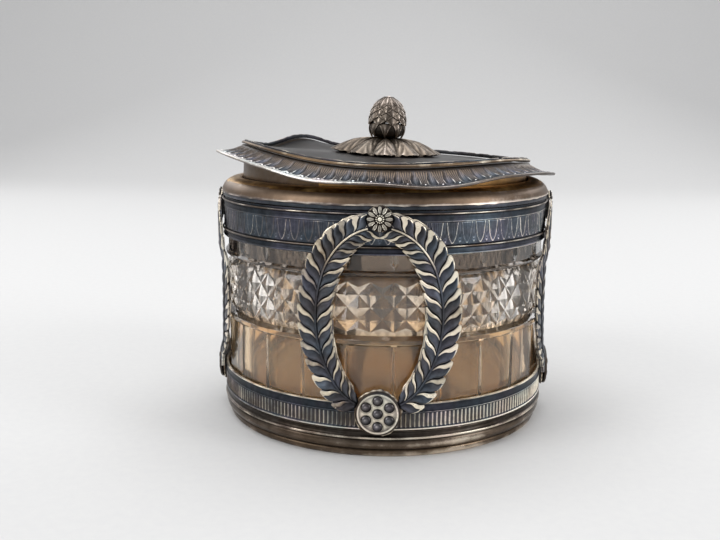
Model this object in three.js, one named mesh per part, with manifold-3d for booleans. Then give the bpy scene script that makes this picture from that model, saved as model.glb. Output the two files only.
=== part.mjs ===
// Round bonbonniere: a diamond-cut crystal drum held between two silver bands, which four
// laurel wreaths tie together, with a domed silver lid that lifts off by its bud finial.
// Millimetres, +Z up, the origin on the table under the middle of the foot, front towards -Y.
// Angles run round the axis from the front (-Y) towards +X.

import * as THREE from 'three';
import { mergeVertices } from 'three/addons/utils/BufferGeometryUtils.js';
import Module from 'manifold-3d';

const wasm = await Module();
wasm.setup();

const DEG = Math.PI / 180;
const TURN = 2 * Math.PI;

// Driving sizes
const bandRadius = 58;          // outside of the mouldings on both bands
const fit = 0.3;                // clearance between neighbouring pieces
const segments = 36;            // facets round a turned piece
const sheet = 0.7;              // thickness of the silver sheet
const edgeStep = 0.3;           // how far the small plain edges stand back from the mouldings

// Crystal drum
const panelCount = 24;          // flat panels round the drum
const crystalTurn = 4.7 * DEG;  // angle of the first ridge between two panels
const panelInset = 2;           // outside of the bands to the middle of a panel
const crystalFloor = 6.5;       // thickness of the bottom
const crystalBevel = 1.1;       // bevel round the bottom edge and the top edge
const bowlFillet = 3;           // rounding between the floor and the wall inside
const diamondColumns = 2 * panelCount;
const diamondStand = 0.95;      // points of the diamonds in front of the panels
const diamondSink = 0.25;       // crossings of the cuts behind the panels
const diamondRise = 7.8;        // height of one diamond
const diamondRows = 2;          // whole diamonds between the lowest and the highest crossings
const diamondLift = 6.9;        // middle of the diamonds above the middle of the glass that shows
const ringStand = 1;            // plain rings above and below the diamonds, before the panels
const ringHeight = 1.5;
const grooveSink = 1.1;         // bottom of the grooves beside the plain rings, behind the panels
const grooveFlank = 0.9;        // height of a groove's plain flank
const grooveStep = 1.4;         // groove bottom to the nearest crossings
const panelStep = 0.6;          // height of the bevel between a plain ring and the panels

// Foot
const footInset = 1.7;          // outside of the bands to the foot rim
const footRimHeight = 2;
const torusInset = 0.3;
const torusTop = 6.1;
const torusCurl = 0.5;          // rounding of the torus
const footFillet = 0.9;         // height of the bright fillet over the torus
const footHeight = 9;
const footLedge = 7;            // how far the ledge reaches in under the crystal
const ledgeThickness = 1.6;
const footWall = 3.5;

// Lower band
const lowerFriezeHeight = 5.6;
const lowerFasciaHeight = 2.9;
const bandWall = 0.9;
const friezeSink = 0.5;         // how far a frieze lies behind the mouldings
const fasciaSink = 0.6;
const beadHeight = 0.5;         // small bead along the edge of a band

// Upper band
const neckGap = 46.6;           // glass that shows between the two bands
const upperFasciaHeight = 2.1;
const filletHeight = 0.7;
const upperFriezeHeight = 9.4;
const scotiaHeight = 0.5;

// Shoulder and mouth
const shoulderHeight = 6.2;
const shoulderLip = 0.8;        // upright edge under the curve of the shoulder
const shoulderSweep = 78 * DEG; // part of a quarter turn that the curve runs through
const mouthInset = 7;           // outside of the bands to the mouth
const crestWidth = 0.6;         // mouth to the crest of the shoulder
const mouthCollar = 8;          // how far the collar reaches down inside the glass

// Wreaths
const wreathCount = 4;
const wreathHalfWidth = 20.1;   // along the curve of the drum, to the middle of a stem
const wreathInset = 1.8;        // middle of a fixing to the end of the stems' oval
const wreathDrop = 0.7;         // widest part below the middle between the two fixings
const wreathBack = 0.4;         // back of a wreath to the mouldings
const wreathDraw = 0.9;         // how far the wreaths are drawn in over the glass
const drawFrom = 3;             // edge of a band to where they turn in
const drawRun = 6;              // height over which they turn in
const wreathSheet = 0.5;
const stemFrom = 16 * DEG;      // where a stem starts on the oval, counted from the bottom
const stemTo = 170 * DEG;
const leafPairs = 15;
const leafReach = 6.1;          // tip of a leaf to the middle of its stem, square to the stem
const leafHeight = 0.8;
const leafHollow = 0.5;         // depth of the dished face of a leaf
const leafLean = 42 * DEG;      // angle between a leaf and its stem
const leafEdge = 0.62;          // place of a leaf's raised edge between two valleys
const leafValley = 0.8;         // reach of a valley, as a share of a leaf's reach
const leafTaper = 0.26;         // how much shorter the first leaves are, as a share
const stemWidth = 1.3;
const stemHeight = 1;
const pinRadius = 0.7;

// Rosettes over the upper band and medallions over the lower one
const rosetteDrop = 0.9;        // middle of a rosette below the upper fillet
const rosetteRadius = 3.9;
const rosettePetals = 12;
const rosetteThickness = 0.8;
const rosetteNotch = 0.1;       // depth of the notches between its petals, as a share
const rosetteBoss = 0.36;       // radius of the boss, as a share
const medallionDrop = 2.5;      // middle of a medallion below the top of the lower band
const medallionRadius = 7;
const medallionThickness = 0.8;
const medallionRim = 0.9;
const medallionBead = 2;
const medallionBeadRise = 0.85;
const medallionBeadRing = 4.15;
const medallionBeads = 6;

// Lid
const lidStand = 2.4;           // level of the lip above the crest of the shoulder
const lidTilt = 2.7 * DEG;      // the lid stands askew in the mouth, up on the left
const lipReach = 2;             // how far the lip stands out over the bands
const lipThickness = 0.8;
const wireWidth = 1.9;
const wireHeight = 1.5;
const flangeRise = 4.1;         // lip to the foot of the wire
const flangeSag = 0.9;
const tongueCount = 67;
const tongueDepth = 0.55;
const domeRise = 1.2;           // foot of the wire to the top of the dome
const bezelDepth = 7.5;
const bezelPlay = 0.75;         // bezel to mouth, all round
const stopLevel = 0.15;         // underside of the bezel's stop above the lip
const stopWidth = 1.6;

// Finial
const foliageRadius = 18.6;
const foliageLobes = 12;
const foliageLobe = 0.16;       // how far the leaves' tips stand out, as a share
const foliageHeight = 5.3;
const foliageShoulder = 0.88;   // height of the foliage under the petals' tips, as a share
const shoulderShare = 0.36;     // radius of the foliage there, as a share
const foliageFall = [[0.62, 0.74], [0.82, 0.42]]; // radius and height further out, as shares
const foliageEdge = 0.9;
const foliageRipple = 0.9;      // height of the ribs along the foliage
const stemRadius = 1.8;
const budRadius = 6.45;
const budHeight = 14.7;         // tips of the lowest petals to the top of the bud
const budTurn = -5 * DEG;
const budPetals = 8;
const budTiers = 3;
const calyxShare = 0.34;        // part of the bud's height that is the open arcade
const petalRise = 1.6;          // tip of a petal to the notch beside it
const petalThickness = 0.8;
const petalMidrib = 0.35;
const petalEdge = 0.1;          // how far the edges of a hanging petal stand back
const petalOverlap = 0.54;      // half-width of a petal at its root, as a share of the pitch
const petalWidths = [1, 0.42, 0.08]; // at the root, half way and at the tip, as shares
const calyxRoot = 1;            // radius of the arcade at its top, as a share of the bud's
const calyxFoot = 0.97;         // and at the petals' tips
const calyxBulge = 0.2;
const lipFlare = 0.5;           // how far the tiers' tips stand out
const nutRadius = 2.6;
const nutThickness = 1.6;

// Bends in the old lid: how far the rim stands up, where and over what angle
const lidBends = [
  { at: -62 * DEG, reach: 62 * DEG, rise: 4.1 },
  { at: 57 * DEG, reach: 55 * DEG, rise: 3 },
  { at: -28 * DEG, reach: 61 * DEG, rise: -2 },
  { at: -137 * DEG, reach: 25 * DEG, rise: 5.2 },
];
const lipRipples = [
  { at: -22 * DEG, reach: 17 * DEG, rise: -0.7 },
  { at: 19 * DEG, reach: 23 * DEG, rise: -1.7 },
];

// Radii that follow from the sizes
const panelRadius = bandRadius - panelInset;
const panelCorner = panelRadius / Math.cos(Math.PI / panelCount);
const diamondTip = panelRadius + diamondStand;
const diamondRoot = panelRadius - diamondSink;
const grooveRadius = panelRadius - grooveSink;
const bandInner = panelCorner + fit;
const mouthRadius = bandRadius - mouthInset;
const glassInner = mouthRadius + sheet + fit;
const wreathRadius = bandRadius + wreathBack;
const fixingRadius = wreathRadius + wreathSheet + fit;
const bezelRadius = mouthRadius - bezelPlay;
const wireRadius = bezelRadius;
const flangeInner = wireRadius - wireWidth;
const domeRadius = flangeInner - fit;
const lipRadius = bandRadius + lipReach;

// Heights that follow from the sizes
const crystalBase = footHeight - bandWall + fit;
const lowerBandTop = footHeight + fit + lowerFriezeHeight + lowerFasciaHeight;
const upperBandBase = lowerBandTop + neckGap;
const lowerFilletBase = upperBandBase + upperFasciaHeight;
const upperFilletBase = lowerFilletBase + filletHeight + upperFriezeHeight;
const upperBandTop = upperFilletBase + filletHeight + scotiaHeight;
const crystalTop = upperBandTop;
const collarBase = crystalTop - mouthCollar;
const shoulderTop = upperBandTop + fit + shoulderHeight;
const rosetteHeight = upperFilletBase - rosetteDrop;
const medallionHeight = lowerBandTop - medallionDrop;
const wreathMiddle = (rosetteHeight + medallionHeight) / 2 - wreathDrop;
const wreathHalfHeight = (rosetteHeight - medallionHeight) / 2 - wreathInset;

// Heights on the lid, above its lip
const domeTop = flangeHeight(wireRadius) + domeRise;
const foliageTop = domeTop + fit + foliageHeight;
const budBase = domeTop + 2 * fit + foliageHeight * foliageShoulder + foliageRipple / 2;
const budTop = budBase + budHeight;
const calyxTop = budBase + calyxShare * budHeight;

// Closed solids from rings of points

// A ring of points round the axis; radius and height may depend on the angle
function ring(count, radius, height, turn = 0) {
  const points = [];
  for (let i = 0; i < count; i += 1) {
    const angle = turn + (i * TURN) / count;
    const r = typeof radius === 'function' ? radius(angle, i) : radius;
    const z = typeof height === 'function' ? height(angle, i) : height;
    points.push({ angle, r, z });
  }
  return points;
}

function axisPoint(height) {
  return [{ angle: 0, r: 0, z: height }];
}

// Triangles between two rings, walked round together by angle. Where both rings step at once
// the quad is split along its deeper diagonal, which keeps the cuts sharp.
function stitch(a, b, startA, startB, index) {
  let i = 0;
  let j = 0;
  const angleA = (k) => a[0].angle + (k * TURN) / a.length;
  const angleB = (k) => b[0].angle + (k * TURN) / b.length;
  while (i < a.length || j < b.length) {
    const a0 = startA + (i % a.length);
    const a1 = startA + ((i + 1) % a.length);
    const b0 = startB + (j % b.length);
    const b1 = startB + ((j + 1) % b.length);
    const stepA = a.length > 1 && i < a.length;
    const stepB = b.length > 1 && j < b.length;
    if (!stepA && !stepB) break;
    const lead = stepA && stepB ? angleA(i + 1) - angleB(j + 1) : 0;
    if (stepA && stepB && Math.abs(lead) < 1e-6) {
      const acrossA = a[i % a.length].r + b[(j + 1) % b.length].r;
      const acrossB = a[(i + 1) % a.length].r + b[j % b.length].r;
      if (acrossA <= acrossB) index.push(a0, a1, b1, a0, b1, b0);
      else index.push(a0, a1, b0, a1, b1, b0);
      i += 1;
      j += 1;
    } else if (stepA && (!stepB || lead < 0)) {
      index.push(a0, a1, b0);
      i += 1;
    } else {
      index.push(a0, b1, b0);
      j += 1;
    }
  }
}

// A list of rings from one axis point to another, or closed on itself round a hollow
function ringSolid(rings, closed = true) {
  const positions = [];
  const starts = [];
  for (const points of rings) {
    starts.push(positions.length / 3);
    for (const { angle, r, z } of points) {
      positions.push(r * Math.sin(angle), -r * Math.cos(angle), z);
    }
  }
  const index = [];
  const last = closed ? rings.length : rings.length - 1;
  for (let k = 0; k < last; k += 1) {
    const next = (k + 1) % rings.length;
    stitch(rings[k], rings[next], starts[k], starts[next], index);
  }
  return solid(positions, index);
}

// A turned piece: the outline is a list of [radius, height] corners that closes on itself
function turned(outline, count = segments) {
  return ringSolid(outline.map(([r, z]) => ring(count, r, z)));
}

// Faces outwards, whichever way round the rings were listed
function solid(positions, index) {
  let volume = 0;
  const corner = new THREE.Vector3();
  const second = new THREE.Vector3();
  const third = new THREE.Vector3();
  for (let t = 0; t < index.length; t += 3) {
    corner.fromArray(positions, 3 * index[t]);
    second.fromArray(positions, 3 * index[t + 1]);
    third.fromArray(positions, 3 * index[t + 2]);
    volume += corner.dot(second.cross(third));
  }
  const faces = volume < 0 ? index.toReversed() : index;
  const geometry = new THREE.BufferGeometry();
  geometry.setAttribute('position', new THREE.Float32BufferAttribute(positions, 3));
  geometry.setIndex(faces);
  return geometry;
}

// Joins and cuts

function toManifold(geometry) {
  const bare = geometry.clone();
  bare.deleteAttribute('normal');
  bare.deleteAttribute('uv');
  const merged = mergeVertices(bare, 1e-5);
  const mesh = new wasm.Mesh({
    numProp: 3,
    vertProperties: Float32Array.from(merged.attributes.position.array),
    triVerts: Uint32Array.from(merged.index.array),
  });
  return new wasm.Manifold(mesh);
}

function fromManifold(shape) {
  const mesh = shape.getMesh();
  const geometry = new THREE.BufferGeometry();
  geometry.setAttribute('position', new THREE.Float32BufferAttribute(mesh.vertProperties, 3));
  geometry.setIndex(Array.from(mesh.triVerts));
  return geometry;
}

function join(geometries) {
  return fromManifold(geometries.map(toManifold).reduce((sum, shape) => sum.add(shape)));
}

function cut(geometry, tools) {
  const base = toManifold(geometry);
  return fromManifold(tools.map(toManifold).reduce((rest, tool) => rest.subtract(tool), base));
}

function common(a, b) {
  return fromManifold(toManifold(a).intersect(toManifold(b)));
}

// Crystal drum

// Two cuts cross at every other corner of a grid; the corners between them are the tips
function diamondField(base, rows) {
  const columns = 2 * diamondColumns;
  const rings = [axisPoint(base)];
  for (let row = 0; row <= rows; row += 1) {
    const radius = (angle, i) => ((i + row) % 2 === 0 ? diamondTip : diamondRoot);
    rings.push(ring(columns, radius, base + (row * diamondRise) / 2, crystalTurn));
  }
  rings.push(axisPoint(base + (rows * diamondRise) / 2));
  return ringSolid(rings, false);
}

function crystal() {
  const panels = (height) => ring(panelCount, panelCorner, height, crystalTurn);
  const edge = (height) => ring(panelCount, panelCorner - crystalBevel, height, crystalTurn);
  const round = (radius, height) => ring(diamondColumns, radius, height, crystalTurn);
  const fieldHeight = diamondRows * diamondRise;
  const middle = (lowerBandTop + upperBandBase) / 2 + diamondLift;
  const lowCross = middle - fieldHeight / 2;
  const highCross = middle + fieldHeight / 2;
  const lowGroove = lowCross - grooveStep;
  const highGroove = highCross + grooveStep;
  const lowRing = lowGroove - grooveFlank - ringHeight;
  const highRing = highGroove + grooveFlank;
  const ringRadius = panelRadius + ringStand;
  const core = (grooveRadius + glassInner) / 2;

  const blank = ringSolid([
    axisPoint(crystalBase),
    edge(crystalBase),
    panels(crystalBase + crystalBevel),
    panels(lowRing - panelStep),
    round(ringRadius, lowRing),
    round(ringRadius, lowRing + ringHeight),
    round(grooveRadius, lowGroove),
    round(core, lowCross),
    round(core, highCross),
    round(grooveRadius, highGroove),
    round(ringRadius, highRing),
    round(ringRadius, highRing + ringHeight / 2),
    panels(highRing + ringHeight / 2 + panelStep),
    panels(crystalTop - crystalBevel),
    edge(crystalTop),
    axisPoint(crystalTop),
  ], false);

  // The grooves' slopes run on through the half diamonds beside them
  const slope = (diamondRoot - grooveRadius) / grooveStep;
  const bevelHeight = (bandRadius - grooveRadius) / slope;
  const bevels = ringSolid([
    axisPoint(lowGroove),
    round(grooveRadius, lowGroove),
    round(bandRadius, lowGroove + bevelHeight),
    round(bandRadius, highGroove - bevelHeight),
    round(grooveRadius, highGroove),
    axisPoint(highGroove),
  ], false);

  const field = diamondField(lowCross - 0.5 * diamondRise, diamondRows * 2 + 2);
  const floor = crystalBase + crystalFloor;
  const fillet45 = bowlFillet * (1 - Math.SQRT1_2);
  const hollow = ringSolid([
    axisPoint(floor),
    ring(segments, glassInner - bowlFillet, floor),
    ring(segments, glassInner - fillet45, floor + fillet45),
    ring(segments, glassInner, floor + bowlFillet),
    ring(segments, glassInner, crystalTop + 1),
    axisPoint(crystalTop + 1),
  ], false);
  return cut(join([blank, common(field, bevels)]), [hollow]);
}

// Foot, bands and shoulder

function foot() {
  const outer = bandRadius - footInset;
  const torus = bandRadius - torusInset;
  const ledge = crystalBase - fit;
  const inner = bandInner - footLedge;
  return turned([
    [outer - footWall, 0],
    [outer - edgeStep, 0],
    [outer, footRimHeight],
    [torus - torusCurl, footRimHeight + torusCurl],
    [torus, (footRimHeight + torusTop) / 2],
    [torus - torusCurl, torusTop - torusCurl],
    [bandRadius, torusTop],
    [bandRadius, torusTop + footFillet],
    [bandInner, footHeight],
    [bandInner, ledge],
    [inner, ledge],
    [inner, ledge - ledgeThickness],
  ]);
}

// Holes for the pins of the four wreaths
function pinHoles(height) {
  const tools = [];
  for (let k = 0; k < wreathCount; k += 1) {
    const hole = new THREE.CylinderGeometry(pinRadius + fit, pinRadius + fit, 2 * mouthInset, 8);
    hole.translate(0, -bandRadius, 0);
    hole.translate(0, 0, height);
    hole.rotateZ((k * TURN) / wreathCount);
    tools.push(hole);
  }
  return tools;
}

function lowerBand() {
  const base = footHeight + fit;
  const edge = bandRadius - edgeStep;
  const frieze = bandRadius - friezeSink;
  const fascia = bandRadius - fasciaSink;
  const friezeTop = base + lowerFriezeHeight;
  const band = turned([
    [bandInner, base],
    [edge, base],
    [edge, base + beadHeight],
    [frieze, base + beadHeight + edgeStep],
    [frieze, friezeTop - edgeStep],
    [edge, friezeTop],
    [fascia, friezeTop + beadHeight],
    [fascia, lowerBandTop - beadHeight - edgeStep],
    [edge, lowerBandTop - edgeStep],
    [edge, lowerBandTop],
    [bandInner, lowerBandTop],
  ]);
  return cut(band, pinHoles(medallionHeight));
}

function upperBand() {
  const edge = bandRadius - edgeStep;
  const seat = edge - 2 * fit;
  const band = turned([
    [bandInner, upperBandBase],
    [edge, upperBandBase],
    [edge, upperBandBase + beadHeight],
    [seat, upperBandBase + 2 * beadHeight],
    [seat, upperBandTop - scotiaHeight],
    [seat - edgeStep / 2, upperBandTop],
    [bandInner, upperBandTop],
  ]);
  return cut(band, pinHoles(rosetteHeight));
}

// Half-round wire laid round the upper band
function fillet(base) {
  const inner = bandRadius - edgeStep - fit;
  return turned([
    [inner, base],
    [bandRadius - edgeStep / 2, base],
    [bandRadius, base + filletHeight / 2],
    [inner, base + filletHeight],
  ]);
}

function shoulder() {
  const base = upperBandTop + fit;
  const outer = wreathRadius - fit;
  const crest = mouthRadius + crestWidth;
  const springing = base + shoulderLip;
  const outline = [
    [mouthRadius, collarBase],
    [mouthRadius, shoulderTop - crestWidth],
    [crest, shoulderTop],
  ];
  const steps = 5;
  const foot = Math.cos(shoulderSweep);
  for (let k = 1; k <= steps; k += 1) {
    const angle = (k / steps) * shoulderSweep;
    const out = Math.sin(angle) / Math.sin(shoulderSweep);
    const up = (Math.cos(angle) - foot) / (1 - foot);
    outline.push([crest + (outer - crest) * out, springing + (shoulderTop - springing) * up]);
  }
  outline.push([outer, base]);
  outline.push([mouthRadius + sheet, base]);
  outline.push([mouthRadius + sheet, collarBase]);
  return turned(outline);
}

// Wreaths, worked flat with x along the curve of the drum, y up and z out, then bent round

// Middle of one stem; t runs from the bottom (0) to the top (1)
class StemCurve extends THREE.Curve {
  constructor(side) {
    super();
    this.side = side;
  }

  getPoint(t, target = new THREE.Vector3()) {
    const angle = stemFrom + t * (stemTo - stemFrom);
    const x = this.side * wreathHalfWidth * Math.sin(angle);
    return target.set(x, wreathMiddle - wreathHalfHeight * Math.cos(angle), wreathSheet);
  }
}

function along(curve, t) {
  const point = curve.getPoint(t);
  const tangent = curve.getTangent(t);
  return { point, tangent, across: new THREE.Vector3(tangent.y, -tangent.x, 0) };
}

// One arm is a loft through chevrons. Every leaf has two of them, one along its raised upper
// edge out to its tip and one along the valley under the next leaf, so the leaves lie nested
// as they are struck from one sheet.
function chevron(curve, k, ridge) {
  const t = (k + (ridge ? leafEdge : 0)) / leafPairs;
  const { point, tangent, across } = along(curve, t);
  const taper = 1 - leafTaper * (1 - Math.sin(Math.PI * t));
  const reach = leafReach * taper * (ridge ? 1 : leafValley);
  const height = wreathSheet + (ridge ? leafHeight : leafHeight - leafHollow);
  const section = [];
  const place = (out, up, z) => section.push([
    point.x + across.x * out + tangent.x * up,
    point.y + across.y * out + tangent.y * up,
    z,
  ]);
  const rise = reach / Math.tan(leafLean);
  for (const side of [-1, 1]) {
    const wing = [
      () => place(side * stemWidth, 0, wreathSheet),
      () => place(side * reach, rise, height),
      () => place(side * reach, rise, 0),
    ];
    if (side < 0) wing.reverse();
    wing.forEach((step) => step());
    if (side < 0) place(0, 0, wreathSheet + stemHeight);
  }
  return section;
}

// A closed solid through sections that all have the same number of [x, y, z] corners
function loft(sections) {
  const width = sections[0].length;
  const index = [];
  for (let i = 0; i < sections.length - 1; i += 1) {
    for (let k = 0; k < width; k += 1) {
      const a = width * i + k;
      const b = width * i + ((k + 1) % width);
      index.push(a, b, b + width, a, b + width, a + width);
    }
  }
  const end = width * (sections.length - 1);
  for (const [a, b, c] of capFaces(sections[0])) index.push(a, c, b);
  for (const [a, b, c] of capFaces(sections.at(-1))) index.push(end + a, end + b, end + c);
  return solid(sections.flat(2), index);
}

// Triangles over the end of a chevron, laid out flat as distance along it against height.
// They turn the way in which the corners are listed.
function capFaces(section) {
  let run = 0;
  const corners = section.map(([x, y, z], k) => {
    if (k > 0) run += Math.hypot(x - section[k - 1][0], y - section[k - 1][1]);
    return new THREE.Vector2(run, z);
  });
  const way = Math.sign(THREE.ShapeUtils.area(corners));
  return THREE.ShapeUtils.triangulateShape(corners, []).map(([a, b, c]) => {
    const turn = Math.sign(THREE.ShapeUtils.area([corners[a], corners[b], corners[c]]));
    return turn === way ? [a, b, c] : [a, c, b];
  });
}

function wreathArm(side) {
  const curve = new StemCurve(side);
  const sections = [];
  for (let k = 0; k < leafPairs; k += 1) {
    sections.push(chevron(curve, k, false));
    sections.push(chevron(curve, k, true));
  }
  sections.push(chevron(curve, leafPairs, false));
  return loft(sections);
}

// A round pad under a rosette or a medallion
function pad(radius, height) {
  const disc = new THREE.CylinderGeometry(radius, radius, wreathSheet, 16);
  disc.rotateX(Math.PI / 2);
  disc.translate(0, height, wreathSheet / 2);
  return disc;
}

// Radius of a wreath's back: over the mouldings at the bands, drawn in over the glass between
function backRadius(height) {
  const low = lowerBandTop + drawFrom;
  const high = upperBandBase - drawFrom;
  const turnedIn = THREE.MathUtils.smoothstep(height, low, low + drawRun);
  const turnedOut = THREE.MathUtils.smoothstep(height, high - drawRun, high);
  return wreathRadius - wreathDraw * (turnedIn - turnedOut);
}

function bend(geometry) {
  const bent = geometry.clone();
  const position = bent.attributes.position;
  for (let i = 0; i < position.count; i += 1) {
    const height = position.getY(i);
    const angle = position.getX(i) / wreathRadius;
    const r = backRadius(height) + position.getZ(i);
    position.setXYZ(i, r * Math.sin(angle), -r * Math.cos(angle), height);
  }
  return bent;
}

// A round tool through the flat wreath, from a level upwards
function drill(radius, height, level) {
  const tool = new THREE.CylinderGeometry(radius, radius, 4 * stemHeight, 12);
  tool.rotateX(Math.PI / 2);
  tool.translate(0, height, level + 2 * stemHeight);
  return tool;
}

function wreath() {
  const flat = join([
    wreathArm(-1),
    wreathArm(1),
    pad(rosetteRadius, rosetteHeight),
    pad(medallionRadius, medallionHeight),
  ]);
  return bend(cut(flat, [
    drill(rosetteRadius + fit, rosetteHeight, wreathSheet),
    drill(medallionRadius + fit, medallionHeight, wreathSheet),
    drill(pinRadius + fit, rosetteHeight, -wreathSheet),
    drill(pinRadius + fit, medallionHeight, -wreathSheet),
  ]));
}

// Head of a fixing: a disc with its pin, standing on the wreath. The profile runs from the
// edge of the disc's back to the middle of its face.
function pinned(profile, count, height) {
  const pin = bandInner + fit - fixingRadius;
  const face = profile.pop();
  const head = ringSolid([
    axisPoint(pin),
    ring(8, pinRadius, pin),
    ring(8, pinRadius, 0),
    ...profile.map(([r, z]) => ring(count, r, z)),
    axisPoint(face[1]),
  ], false);
  head.rotateX(Math.PI / 2);
  head.translate(0, -fixingRadius, height);
  return head;
}

function rosette() {
  const t = rosetteThickness;
  const wave = (angle) => 1 - rosetteNotch * (1 - Math.cos(rosettePetals * angle));
  const edge = (angle) => rosetteRadius * wave(angle);
  const boss = rosetteRadius * rosetteBoss;
  return pinned([
    [edge, 0],
    [edge, 0.5 * t],
    [boss, 0.7 * t],
    [boss, 1.4 * t],
    [0, 1.7 * t],
  ], 2 * rosettePetals, rosetteHeight);
}

function medallion() {
  const t = medallionThickness;
  const ground = 0.75 * t;
  const disc = pinned([
    [medallionRadius, 0],
    [medallionRadius, ground],
    [medallionRadius - medallionRim / 2, t],
    [medallionRadius - medallionRim, ground],
    [0, ground],
  ], 18, medallionHeight);
  const pieces = [disc];
  for (let k = -1; k < medallionBeads; k += 1) {
    const angle = (k * TURN) / medallionBeads;
    const reach = k < 0 ? 0 : medallionBeadRing;
    const bead = ringSolid([
      axisPoint(-t / 2),
      ring(6, medallionBead, -t / 2),
      ring(6, medallionBead, 0),
      ring(6, medallionBead * 0.6, medallionBeadRise * 0.8),
      axisPoint(medallionBeadRise),
    ], false);
    bead.rotateX(Math.PI / 2);
    bead.translate(0, -fixingRadius - ground, medallionHeight);
    bead.translate(reach * Math.sin(angle), 0, reach * Math.cos(angle));
    pieces.push(bead);
  }
  return join(pieces);
}

// Lid, worked level with its lip at height 0

function bumps(list, angle) {
  let rise = 0;
  for (const bump of list) {
    const away = Math.abs(Math.atan2(Math.sin(angle - bump.at), Math.cos(angle - bump.at)));
    if (away < bump.reach) rise += bump.rise * 0.5 * (1 + Math.cos((Math.PI * away) / bump.reach));
  }
  return rise;
}

// Bends every lid piece alike, growing from the axis to the lip
function warp(geometry) {
  const position = geometry.attributes.position;
  for (let i = 0; i < position.count; i += 1) {
    const x = position.getX(i);
    const y = position.getY(i);
    const r = Math.hypot(x, y);
    const angle = Math.atan2(x, -y);
    const rim = Math.max(0, (r - wireRadius) / (lipRadius - wireRadius));
    const rise = bumps(lidBends, angle) * (r / lipRadius) ** 2 + bumps(lipRipples, angle) * rim;
    position.setZ(i, position.getZ(i) + rise);
  }
  return geometry;
}

// Height of the flange's face, a shallow ogee from the lip up to the wire
function flangeHeight(radius) {
  const u = (lipRadius - radius) / (lipRadius - wireRadius);
  return lipThickness + (flangeRise - lipThickness) * u - flangeSag * Math.sin(Math.PI * u);
}

function flange() {
  const count = 2 * tongueCount;
  const span = lipRadius - wireRadius;
  const face = (radius, depth) => {
    const height = (angle, i) => flangeHeight(radius) - (i % 2 === 0 ? depth : 0);
    return ring(count, radius, height);
  };
  const under = (radius, gap) => ring(segments, radius, flangeHeight(radius) - gap);
  const edge = (radius, height) => ring(tongueCount, radius, height);
  const shelf = flangeHeight(wireRadius);
  return warp(ringSolid([
    ring(segments, flangeInner, shelf - sheet),
    ring(segments, wireRadius, shelf - sheet),
    under(lipRadius - 0.5 * span, sheet + tongueDepth),
    ring(segments, lipRadius - 1.5 * lipThickness, 0),
    edge(lipRadius, 0),
    edge(lipRadius, lipThickness),
    face(lipRadius - lipThickness, 0),
    face(lipRadius - 0.28 * span, tongueDepth),
    face(lipRadius - 0.6 * span, 0.8 * tongueDepth),
    edge(wireRadius + wireWidth / 2, flangeHeight(wireRadius + wireWidth / 2)),
    ring(segments, flangeInner, shelf),
  ]));
}

// Moulded wire with a groove between two ridges
function wire() {
  const base = flangeHeight(wireRadius) + fit;
  const half = wireWidth / 2;
  return warp(turned([
    [wireRadius - half, base],
    [wireRadius + half, base],
    [wireRadius + 0.5 * half, base + 0.75 * wireHeight],
    [wireRadius, base + 0.5 * wireHeight],
    [wireRadius - 0.3 * half, base + wireHeight],
    [wireRadius - half, base + wireHeight],
  ]));
}

// How far the dome has fallen at a radius
function domeFall(radius) {
  return domeRise * (radius / domeRadius) ** 2;
}

// Gently domed top inside the wire
function dome() {
  const hole = pinRadius + fit;
  const radii = [hole, 0.4 * domeRadius, 0.8 * domeRadius, domeRadius];
  const face = radii.map((r) => [r, domeTop - domeFall(r)]);
  const under = face.map(([r, z]) => [r, z - sheet]);
  return warp(turned([...face, ...under.toReversed()]));
}

// Collar that drops into the mouth, with the stop that rests on the crest of the shoulder
function bezel() {
  const top = flangeHeight(wireRadius) - sheet - fit;
  return warp(turned([
    [bezelRadius - sheet, top],
    [bezelRadius - sheet, stopLevel - bezelDepth],
    [bezelRadius, stopLevel - bezelDepth],
    [bezelRadius, stopLevel],
    [bezelRadius + stopWidth, stopLevel],
    [bezelRadius + stopWidth, stopLevel + sheet],
    [bezelRadius, stopLevel + sheet],
    [bezelRadius, top],
  ]));
}

// Leaves that spread from the foot of the finial over the dome
function foliage() {
  const columns = 4 * foliageLobes;
  const base = domeTop + fit;
  const hole = pinRadius + fit;
  const lobe = (angle) => Math.abs(Math.cos((foliageLobes * angle) / 2));
  const surface = (share, rise) => {
    const level = base - domeFall(foliageRadius * share) + rise;
    const spread = foliageLobe * share * share;
    const ripple = foliageRipple * Math.sin(Math.PI * share);
    const radius = (angle) => foliageRadius * share * (1 + spread * (lobe(angle) - 0.6));
    const height = (angle) => level + ripple * (lobe(angle) - 0.4);
    return ring(columns, radius, height);
  };
  const under = (share) => {
    const radius = foliageRadius * share;
    return ring(2 * foliageLobes, radius, base - domeFall(radius));
  };
  return warp(ringSolid([
    ring(12, hole, base),
    under(0.5),
    under(0.92),
    surface(1, foliageEdge * 0.5),
    surface(0.98, foliageEdge),
    ...foliageFall.toReversed().map(([share, rise]) => surface(share, foliageHeight * rise)),
    surface(shoulderShare, foliageHeight * foliageShoulder),
    ring(12, hole, base + foliageHeight),
  ]));
}

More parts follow.
